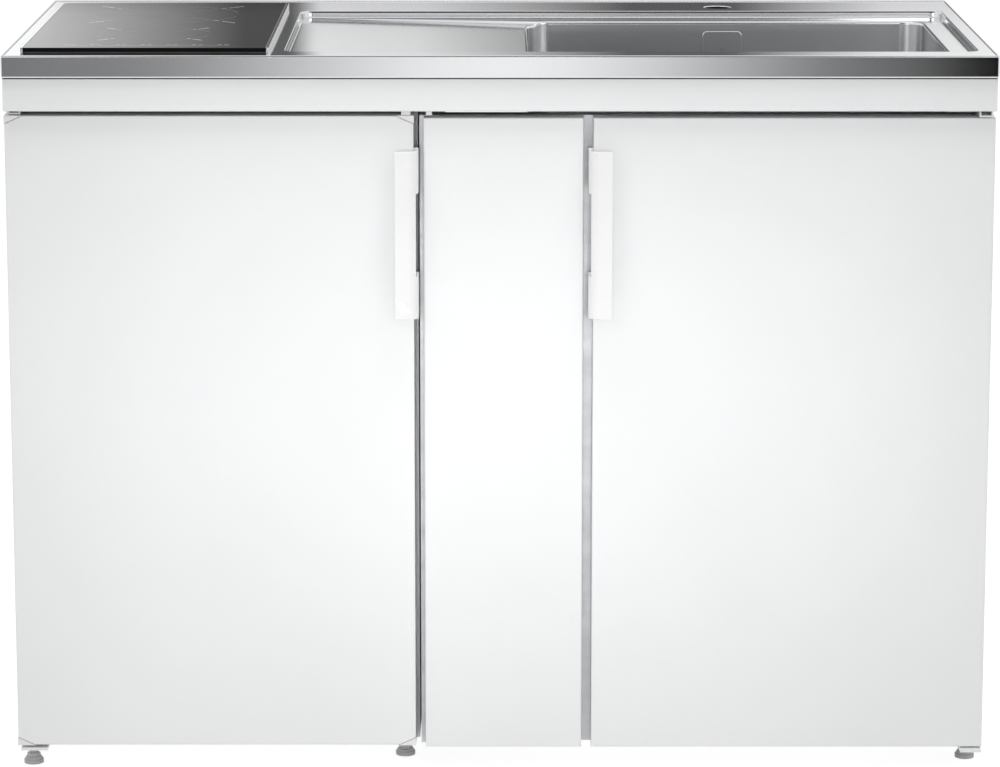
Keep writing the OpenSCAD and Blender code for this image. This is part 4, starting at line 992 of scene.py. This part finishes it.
# %% Tree for printed strokes
strokes, g_in, g_out = new_tree(
    "printed strokes", [("Start", "Float", 0.0), ("End", "Float", 1.0), ("Width", "Float", 0.001),
                        ("Material", "Material", None)])
to_curve = add(strokes, "GeometryNodeMeshToCurve")
trim = add(strokes, "GeometryNodeTrimCurve", mode="FACTOR")
flat_normal = add(strokes, "GeometryNodeSetCurveNormal", mode="Z_UP")
half = add(strokes, "ShaderNodeMath", {1: 0.5}, operation="MULTIPLY")
minus = add(strokes, "ShaderNodeMath", {1: -0.5}, operation="MULTIPLY")
left_end = add(strokes, "ShaderNodeCombineXYZ")
right_end = add(strokes, "ShaderNodeCombineXYZ")
profile = add(strokes, "GeometryNodeCurvePrimitiveLine")
sweep = add(strokes, "GeometryNodeCurveToMesh")
wire(strokes, (g_in, "Geometry", to_curve, 0), (to_curve, 0, trim, "Curve"),
     (g_in, "Start", trim, "Start"), (g_in, "End", trim, "End"), (trim, 0, flat_normal, 0),
     (flat_normal, 0, sweep, "Curve"), (g_in, "Width", half, 0), (g_in, "Width", minus, 0),
     (minus, 0, left_end, "X"), (half, 0, right_end, "X"), (left_end, 0, profile, "Start"),
     (right_end, 0, profile, "End"), (profile, 0, sweep, "Profile Curve"))
end_tree(strokes, sweep, g_in, g_out)

# %% [markdown]
# Each cooking zone is marked by a broken cross whose arms point at the pan's middle, and by a faint
# dotted ring. Along the front lie the touch controls: a thin line with short dashes behind it. They carry
# no words, only plain strokes.

# %% Guide lines of the hob's print
glass_x0, glass_x1, _, _, _, glass_z1 = mm_box("hob_glass")
PRINT_Z = glass_z1 - 0.02
ZONE_X = (glass_x0 + glass_x1) / 2
# A zone: its middle behind the front edge, the reach of its arms to each side, where they stop, its ring.
ZONES = ((382.0, 93.0, 33.0, 92.0), (170.0, 64.0, 24.0, 70.0))
arm_lines = [[(ZONE_X + side * reach, middle + away * reach, PRINT_Z),
              (ZONE_X + side * inner, middle + away * inner, PRINT_Z)]
             for middle, reach, inner, ring in ZONES for side in (-1, 1) for away in (1, -1)]


def arc_line(centre, radius, start, stop, steps=24):
    turn = [math.radians(start + (stop - start) * i / steps) for i in range(steps + 1)]
    return [(centre[0] + radius * math.cos(a), centre[1] + radius * math.sin(a), PRINT_Z) for a in turn]


arc_lines = [arc_line((ZONE_X, middle), ring, start, start + 62)
             for middle, reach, inner, ring in ZONES for start in (14, 104, 194, 284)]
CONTROL_D, CONTROL_W = 53.0, 202.0
control_line = [[(ZONE_X - CONTROL_W / 2, CONTROL_D, PRINT_Z), (ZONE_X + CONTROL_W / 2, CONTROL_D, PRINT_Z)]]
KEY_D, KEY_W, KEY_PAIRS, PAIR_PITCH, KEY_PITCH = 61.0, 5.2, 7, 31.0, 8.0
keys = [ZONE_X + (pair - (KEY_PAIRS - 1) / 2) * PAIR_PITCH + side * KEY_PITCH / 2
        for pair in range(KEY_PAIRS) for side in (-1, 1)]
key_lines = [[(x - KEY_W / 2, KEY_D, PRINT_Z), (x + KEY_W / 2, KEY_D, PRINT_Z)] for x in keys]
print(len(arm_lines), "arms,", len(arc_lines), "arcs,", len(key_lines), "keys")

# %% The hob's print
print_light = coat("ceramic print", (0.82, 0.82, 0.83, 1), (0.72, 0.72, 0.73, 1), 0.04, 0.09, 2000.0, 0.02,
                   60.0)
print_faint = coat("faint ceramic print", (0.50, 0.50, 0.505, 1), (0.42, 0.42, 0.425, 1), 0.04, 0.09, 2000.0,
                   0.02, 60.0)
for label, guides, start, end, width, mat in (
        ("hob_print_arm_ends", arm_lines, 0.0, 0.30, 2.8, print_light),
        ("hob_print_arm_dashes", arm_lines, 0.36, 0.48, 2.0, print_light),
        ("hob_print_arm_lines", arm_lines, 0.54, 1.0, 0.9, print_faint),
        ("hob_print_rings", arc_lines, 0.0, 1.0, 0.8, print_faint),
        ("hob_print_control_line", control_line, 0.0, 1.0, 0.8, print_light),
        ("hob_print_keys", key_lines, 0.0, 1.0, 2.4, print_light)):
    mark = grow(strokes, lines_mesh(label, guides), label, "unit", "grey_coat",
                Start=start, End=end, Width=width * MM, Material=mat)
    print("  height of the strip in mm:", round(mark.dimensions.z / MM, 4))

# %% [markdown]
# ### Screws
# The back panels are held by pan-head screws with a six-sided socket. One head is modelled as a few rings.
# The tree sets it on every point and turns it to face the way the points' surface faces.

# %% Tree for screws
screws, g_in, g_out = new_tree(
    "screw heads", [("Head", "Object", None), ("Facing", "Rotation", None), ("Material", "Material", None)])
head_info = add(screws, "GeometryNodeObjectInfo")
points = add(screws, "GeometryNodeMeshToPoints")
place = add(screws, "GeometryNodeInstanceOnPoints")
wire(screws, (g_in, "Geometry", points, 0), (points, 0, place, "Points"),
     (g_in, "Head", head_info, "Object"), (head_info, "Geometry", place, "Instance"),
     (g_in, "Facing", place, "Rotation"))
end_tree(screws, place, g_in, g_out)


# %% One screw head
def screw_head(name, r, h):
    """A domed head that looks up, with a six-sided socket, centred on the origin."""
    bm = bmesh.new()
    sides = 12
    rows = [(r * 0.9, -0.3), (r, 0.0), (r, h * 0.35), (r * 0.85, h * 0.75), (r * 0.5, h), (r * 0.42, h),
            (r * 0.40, h * 0.35)]
    rings = []
    for radius, z in rows:
        rings.append([bm.verts.new((radius * MM * math.cos(2 * math.pi * i / sides),
                                    radius * MM * math.sin(2 * math.pi * i / sides), z * MM))
                      for i in range(sides)])
    for a, b in zip(rings, rings[1:]):
        skin(bm, a, b)
    bm.faces.new(rings[-1])
    bm.faces.new(rings[0][::-1])
    bmesh.ops.recalc_face_normals(bm, faces=bm.faces[:])
    mesh = mesh_of(bm, name)
    mesh.shade_smooth()
    mesh.materials.append(zinc_steel)
    return stand(name, mesh)


head = screw_head("screw_head_template", 3.4, 1.7)
print("one head has", len(head.data.polygons), "faces")


# %% Screws on the back panels
def points_mesh(name, points):
    mesh = bpy.data.meshes.new(name)
    mesh.from_pydata([at(*p) for p in points], [], [])
    return mesh


def around(x0, x1, depth, z0, z1, across, up):
    """Points along the four sides of an upright rectangle."""
    xs = [x0 + (x1 - x0) * i / across for i in range(across + 1)]
    zs = [z0 + (z1 - z0) * i / up for i in range(1, up)]
    return [(x, depth, z) for x in xs for z in (z0, z1)] + [(x, depth, z) for z in zs for x in (x0, x1)]


fb = mm_box("fridge_back")
cb = mm_box("cabinet_back")
back_points = around(fb[0] + 9, fb[1] - 9, fb[3], fb[4] + 9, fb[5] - 9, 3, 4)
back_points += around(cb[0] + 9, cb[1] - 9, cb[3], cb[4] + 9, cb[5] - 9, 5, 3)
grow(screws, points_mesh("back_points", back_points), "back_panel_screws", "unit", "zinc_steel",
     Head=head, Facing=(math.radians(-90), 0, 0), Material=zinc_steel)
bpy.data.objects.remove(head)
print(len(back_points), "screws")

# %% [markdown]
# ### Condenser wires
# A static condenser is a serpentine tube with thin steel wires welded across it on both sides. The wires
# give it most of its surface. The tree makes one row of wires: a line of points with an upright
# cylinder on each.

# %% Tree for the wires
wires, g_in, g_out = new_tree(
    "upright wires", [("Count", "Int", 20), ("Step", "Float", 0.01), ("Radius", "Float", 0.0008),
                      ("Length", "Float", 0.4), ("Material", "Material", None)])
step = add(wires, "ShaderNodeCombineXYZ")
row = add(wires, "GeometryNodeMeshLine", mode="OFFSET")
moved = add(wires, "GeometryNodeInstanceOnPoints")
on_row = add(wires, "GeometryNodeInstanceOnPoints")
rod = add(wires, "GeometryNodeMeshCylinder", {"Vertices": 6, "Side Segments": 1}, fill_type="NGON")
wire(wires, (g_in, "Step", step, "X"), (step, 0, row, "Offset"), (g_in, "Count", row, "Count"),
     (g_in, "Radius", rod, "Radius"), (g_in, "Length", rod, "Depth"), (row, 0, on_row, "Points"),
     (rod, "Mesh", on_row, "Instance"), (g_in, "Geometry", moved, "Points"),
     (on_row, 0, moved, "Instance"))
end_tree(wires, moved, g_in, g_out)

# %% Wires on both sides of the serpentine
co = mm_box("condenser")
WIRE_R, WIRE_STEP = 0.8, 13.0
tube_d = (mm_box("fridge_back")[3] + 8.0)
count = int((co[1] - co[0] - 40) / WIRE_STEP)
wire_x0 = (co[0] + co[1]) / 2 - WIRE_STEP * (count - 1) / 2
wire_points = [(wire_x0, d, (co[4] + co[5]) / 2) for d in (tube_d - 3.2, tube_d + 3.2)]
grow(wires, points_mesh("wire_rows", wire_points), "condenser_wires", "unit", "black_coat",
     Count=count, Step=WIRE_STEP * MM, Radius=WIRE_R * MM, Length=(co[5] - co[4] - 12) * MM,
     Material=black_enamel)
print(count, "wires a side; condenser box", [round(v, 1) for v in co])

# %% [markdown]
# ### Foot threads
# Each levelling foot has a rolled M10 thread. A spiral curve with a three-sided profile gives the ridge.
# It is a little wider than the stem, and it stops short of the disc and of the nut.

# %% Tree for the thread
thread, g_in, g_out = new_tree(
    "rolled thread", [("Radius", "Float", 0.005), ("Pitch", "Float", 0.0015), ("Turns", "Float", 10.0),
                      ("Material", "Material", None)])
height = add(thread, "ShaderNodeMath", operation="MULTIPLY")
spiral = add(thread, "GeometryNodeCurveSpiral", {"Resolution": 14})
ridge = add(thread, "GeometryNodeCurvePrimitiveCircle", {"Resolution": 3, "Radius": 0.0005}, mode="RADIUS")
sweep = add(thread, "GeometryNodeCurveToMesh", {"Fill Caps": True})
on_point = add(thread, "GeometryNodeInstanceOnPoints")
wire(thread, (g_in, "Pitch", height, 0), (g_in, "Turns", height, 1), (height, 0, spiral, "Height"),
     (g_in, "Turns", spiral, "Rotations"), (g_in, "Radius", spiral, "Start Radius"),
     (g_in, "Radius", spiral, "End Radius"), (spiral, 0, sweep, "Curve"),
     (ridge, 0, sweep, "Profile Curve"), (g_in, "Geometry", on_point, "Points"),
     (sweep, 0, on_point, "Instance"))
end_tree(thread, on_point, g_in, g_out)

# %% A thread on every foot
STEM_R, PITCH = 5.0, 1.5
for name in sorted(n for n in frame["nodes"] if n.startswith("foot_")):
    x0, x1, d0, d1, _, top = mm_box(name)
    low = 14.0
    turns = (min(top, 32.0) - 3.6 - low) / PITCH
    centre = ((x0 + x1) / 2, (d0 + d1) / 2, low)
    grow(thread, points_mesh(name + "_point", [centre]), name + "_thread", BODY[name], "zinc_steel",
         Radius=STEM_R * MM - 0.0002, Pitch=PITCH * MM, Turns=turns, Material=zinc_steel)

# %% [markdown]
# ## Floor, light and background
# A pale floor, a white world and soft lamps. The worktop is a mirror for what stands behind and in front
# of it, so the studio has seven boards that only mirror rays see. The one behind has dark and bright
# fields, and the one in front is bright in the middle. A photographer uses black and white cards in the
# same way to give steel its shape.

# %% World
world = bpy.data.worlds.new("studio")
bpy.context.scene.world = world
world.use_nodes = True
tree = world.node_tree
tree.nodes.clear()


def seen_directly(tree):
    """A node whose value is 1 for camera, glossy and transmission rays."""
    path = add(tree, "ShaderNodeLightPath")
    first = add(tree, "ShaderNodeMath", operation="MAXIMUM")
    second = add(tree, "ShaderNodeMath", operation="MAXIMUM")
    wire(tree, (path, "Is Camera Ray", first, 0), (path, "Is Glossy Ray", first, 1),
         (first, 0, second, 0), (path, "Is Transmission Ray", second, 1))
    return second


FILL_LIGHT = 0.50
soft = add(tree, "ShaderNodeBackground", {"Color": (1, 1, 1, 1), "Strength": FILL_LIGHT})
white = add(tree, "ShaderNodeBackground", {"Color": (1, 1, 1, 1), "Strength": 1.0})
mix = add(tree, "ShaderNodeMixShader")
out = add(tree, "ShaderNodeOutputWorld")
wire(tree, (seen_directly(tree), 0, mix, 0), (soft, 0, mix, 1), (white, 0, mix, 2),
     (mix, 0, out, "Surface"))
print("world ready")

# %% [markdown]
# The floor is painted pale and takes the object's shadow. To the camera and to mirror rays it also glows a
# little, so that it meets the white background without a line, while the light that it throws on the
# object stays that of a plain painted floor.

# %% Floor
bm = bmesh.new()
bmesh.ops.create_grid(bm, x_segments=4, y_segments=4, size=40)
mesh = mesh_of(bm, "studio_floor")
floor = stand("studio_floor", mesh)
floor.location = (0, 0, -0.0005)
floor_paint, tree, shader, coords = new_material("floor paint")
tone_node = use(tree, uneven, coords, Scale=0.4, Tone_A=(0.80, 0.80, 0.80, 1), Tone_B=(0.79, 0.79, 0.79, 1),
                Rough_A=0.7, Rough_B=0.8)
wire(tree, (tone_node, "Color", shader, "Base Color"), (tone_node, "Roughness", shader, "Roughness"))
FLOOR_SHARE, FLOOR_GLOW = 0.45, 0.85
paint_part = add(tree, "ShaderNodeMixShader", {0: FLOOR_SHARE})
glow = add(tree, "ShaderNodeEmission", {"Color": (1, 1, 1, 1), "Strength": FLOOR_GLOW / (1 - FLOOR_SHARE)})
choose = add(tree, "ShaderNodeMixShader")
wire(tree, (glow, 0, paint_part, 1), (shader, 0, paint_part, 2), (seen_directly(tree), 0, choose, 0),
     (shader, 0, choose, 1), (paint_part, 0, choose, 2),
     (choose, 0, tree.nodes["Material Output"], "Surface"))
mesh.materials.append(floor_paint)
floor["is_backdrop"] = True
print("floor ready")


# %% Soft lamps
def aimed(obj, position, aim):
    obj.location = position
    obj.rotation_euler = (Vector(aim) - Vector(position)).to_track_quat("-Z", "Y").to_euler()
    bpy.context.scene.collection.objects.link(obj)
    return obj


def lamp(name, position, aim, width, height, watts, mirrored=True):
    data = bpy.data.lights.new(name, "AREA")
    data.shape = "RECTANGLE"
    data.size, data.size_y, data.energy = width, height, watts
    obj = aimed(bpy.data.objects.new(name, data), position, aim)
    obj.visible_glossy = mirrored
    return obj


def spot(name, position, aim, angle, watts):
    data = bpy.data.lights.new(name, "SPOT")
    data.energy, data.shadow_soft_size = watts, 0.25
    data.spot_size, data.spot_blend = math.radians(angle), 1.0
    return aimed(bpy.data.objects.new(name, data), position, aim)


lamp("key_left", (-1.6, -3.2, 1.9), (-0.3, -0.29, 0.45), 1.6, 1.6, 14)
lamp("key_right", (1.6, -3.2, 1.9), (0.3, -0.29, 0.45), 1.6, 1.6, 14)
lamp("top", (0, -0.75, 3.0), (0, -0.35, 0.6), 2.4, 0.9, 36, mirrored=False)
spot("left_door_spot", (-0.3, -4.0, 0.9), (-0.25, -0.28, 0.46), 16, 140)
spot("right_door_spot", (0.3, -4.0, 0.9), (0.25, -0.28, 0.44), 16, 132)
print("lamps ready")


# %% [markdown]
# A mirror board gives light only to glossy rays and lets all others through. Its brightness across x
# comes from a colour ramp, read in the board's own coordinates.


# %% Mirror boards
HALF_BOARD = 1.8


def across_studio(near, far):
    """The corners of a rectangle between two lines along x, each given as (y, z)."""
    return ((-HALF_BOARD, *near), (HALF_BOARD, *near), (HALF_BOARD, *far), (-HALF_BOARD, *far))


def even(brightness):
    """Stops of a board that is equally bright from end to end."""
    return [(-HALF_BOARD, brightness), (HALF_BOARD, brightness)]


def mirror_board(name, corners, stops, rise=None, blend="LINEAR"):
    """A board with four corners. stops are (x, brightness).

    rise is (z, factor, z, factor) for a board that changes with height."""
    bm = bmesh.new()
    bm.faces.new([bm.verts.new(p) for p in corners])
    mesh = mesh_of(bm, name)
    obj = stand(name, mesh)
    mat = bpy.data.materials.new(name)
    mat.use_nodes = True
    tree = mat.node_tree
    tree.nodes.clear()
    coords = add(tree, "ShaderNodeTexCoord")
    parts = add(tree, "ShaderNodeSeparateXYZ")
    across = add(tree, "ShaderNodeMapRange", {"From Min": -HALF_BOARD, "From Max": HALF_BOARD})
    ramp = add(tree, "ShaderNodeValToRGB")
    ramp.color_ramp.interpolation = blend
    elements = ramp.color_ramp.elements
    for i, (x, value) in enumerate(stops):
        pos = (x + HALF_BOARD) / (2 * HALF_BOARD)
        element = elements[i] if i < 2 else elements.new(pos)
        element.position = pos
        element.color = (value, value, value, 1)
    glow = add(tree, "ShaderNodeEmission")
    if rise:
        low_z, low_share, high_z, high_share = rise
        with_height = add(tree, "ShaderNodeMapRange", {"From Min": low_z, "From Max": high_z,
                                                       "To Min": low_share, "To Max": high_share})
        wire(tree, (parts, "Z", with_height, "Value"), (with_height, 0, glow, "Strength"))
    gone = add(tree, "ShaderNodeBsdfTransparent")
    path = add(tree, "ShaderNodeLightPath")
    mix = add(tree, "ShaderNodeMixShader")
    out = add(tree, "ShaderNodeOutputMaterial")
    wire(tree, (coords, "Object", parts, 0), (parts, "X", across, "Value"), (across, 0, ramp, "Fac"),
         (ramp, "Color", glow, "Color"), (path, "Is Glossy Ray", mix, 0), (gone, 0, mix, 1),
         (glow, 0, mix, 2), (mix, 0, out, "Surface"))
    mesh.materials.append(mat)
    obj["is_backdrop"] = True
    return obj


# Behind the object stand a pale screen at the left, one in the middle that fades to the right and one at
# the right, with dark gaps between them. Above 1.2 m they are 1.4 times as bright.
BACK_SCREENS = [(-1.8, 0.9), (-0.9, 0.7), (-0.5, 0.1), (-0.4, 0.1), (-0.35, 0.65), (-0.15, 0.6),
                (0.25, 0.1), (0.45, 0.1), (0.75, 0.65), (1.8, 1.0)]
mirror_board("mirror_board_back", across_studio((2.7, 0.6), (2.7, 3.2)), BACK_SCREENS,
             rise=(1.18, 1.0, 1.2, 1.4))
mirror_board("mirror_board_left", ((-1.8, 2.69, 1.10), (-0.806, 2.69, 1.10), (-1.0, 2.69, 1.35),
                                   (-1.8, 2.69, 1.35)), even(1.25))
# In front of it one soft screen is brightest in the middle and ends before the right-hand corner.
FRONT_SCREEN = [(-1.8, 0.0), (-0.8, 0.3), (0.0, 1.2), (0.8, 0.2), (1.0, 0.0), (1.8, 0.0)]
mirror_board("mirror_board_front", across_studio((-3.6, 0.0), (-3.6, 1.4)), FRONT_SCREEN, blend="EASE")
# Two boards further up shape the bowl's walls: a wide pale one, and narrow strips for their highlights.
HIGH_BOARD = [(-1.8, 0.6), (-0.3, 0.6), (0.15, 0.5), (0.3, 0.35), (0.6, 0.45), (0.75, 0.7), (0.9, 0.8),
              (1.8, 0.8)]
mirror_board("mirror_board_high", across_studio((-3.6, 1.4), (-3.6, 2.6)), HIGH_BOARD)
LIGHT_STRIPS = [(-1.8, 0.6), (0.0, 0.6), (0.05, 3.5), (0.10, 3.5), (0.15, 0.5), (0.30, 0.3), (0.60, 0.7),
                (0.75, 1.6), (0.85, 2.5), (0.95, 2.5), (1.1, 1.2), (1.8, 0.8)]
mirror_board("mirror_board_strip", across_studio((-3.59, 1.64), (-3.59, 1.84)), LIGHT_STRIPS)
# A dark board and a bright one overhead stand in for the ceiling, which the steep walls mirror.
mirror_board("mirror_board_dark", across_studio((-3.6, 2.6), (-1.3, 3.1)), even(0.05))
mirror_board("mirror_board_above", across_studio((-0.7, 3.1), (0.6, 3.1)), even(1.4))
print("mirror boards ready")

# %% Sizes and finish
low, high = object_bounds()
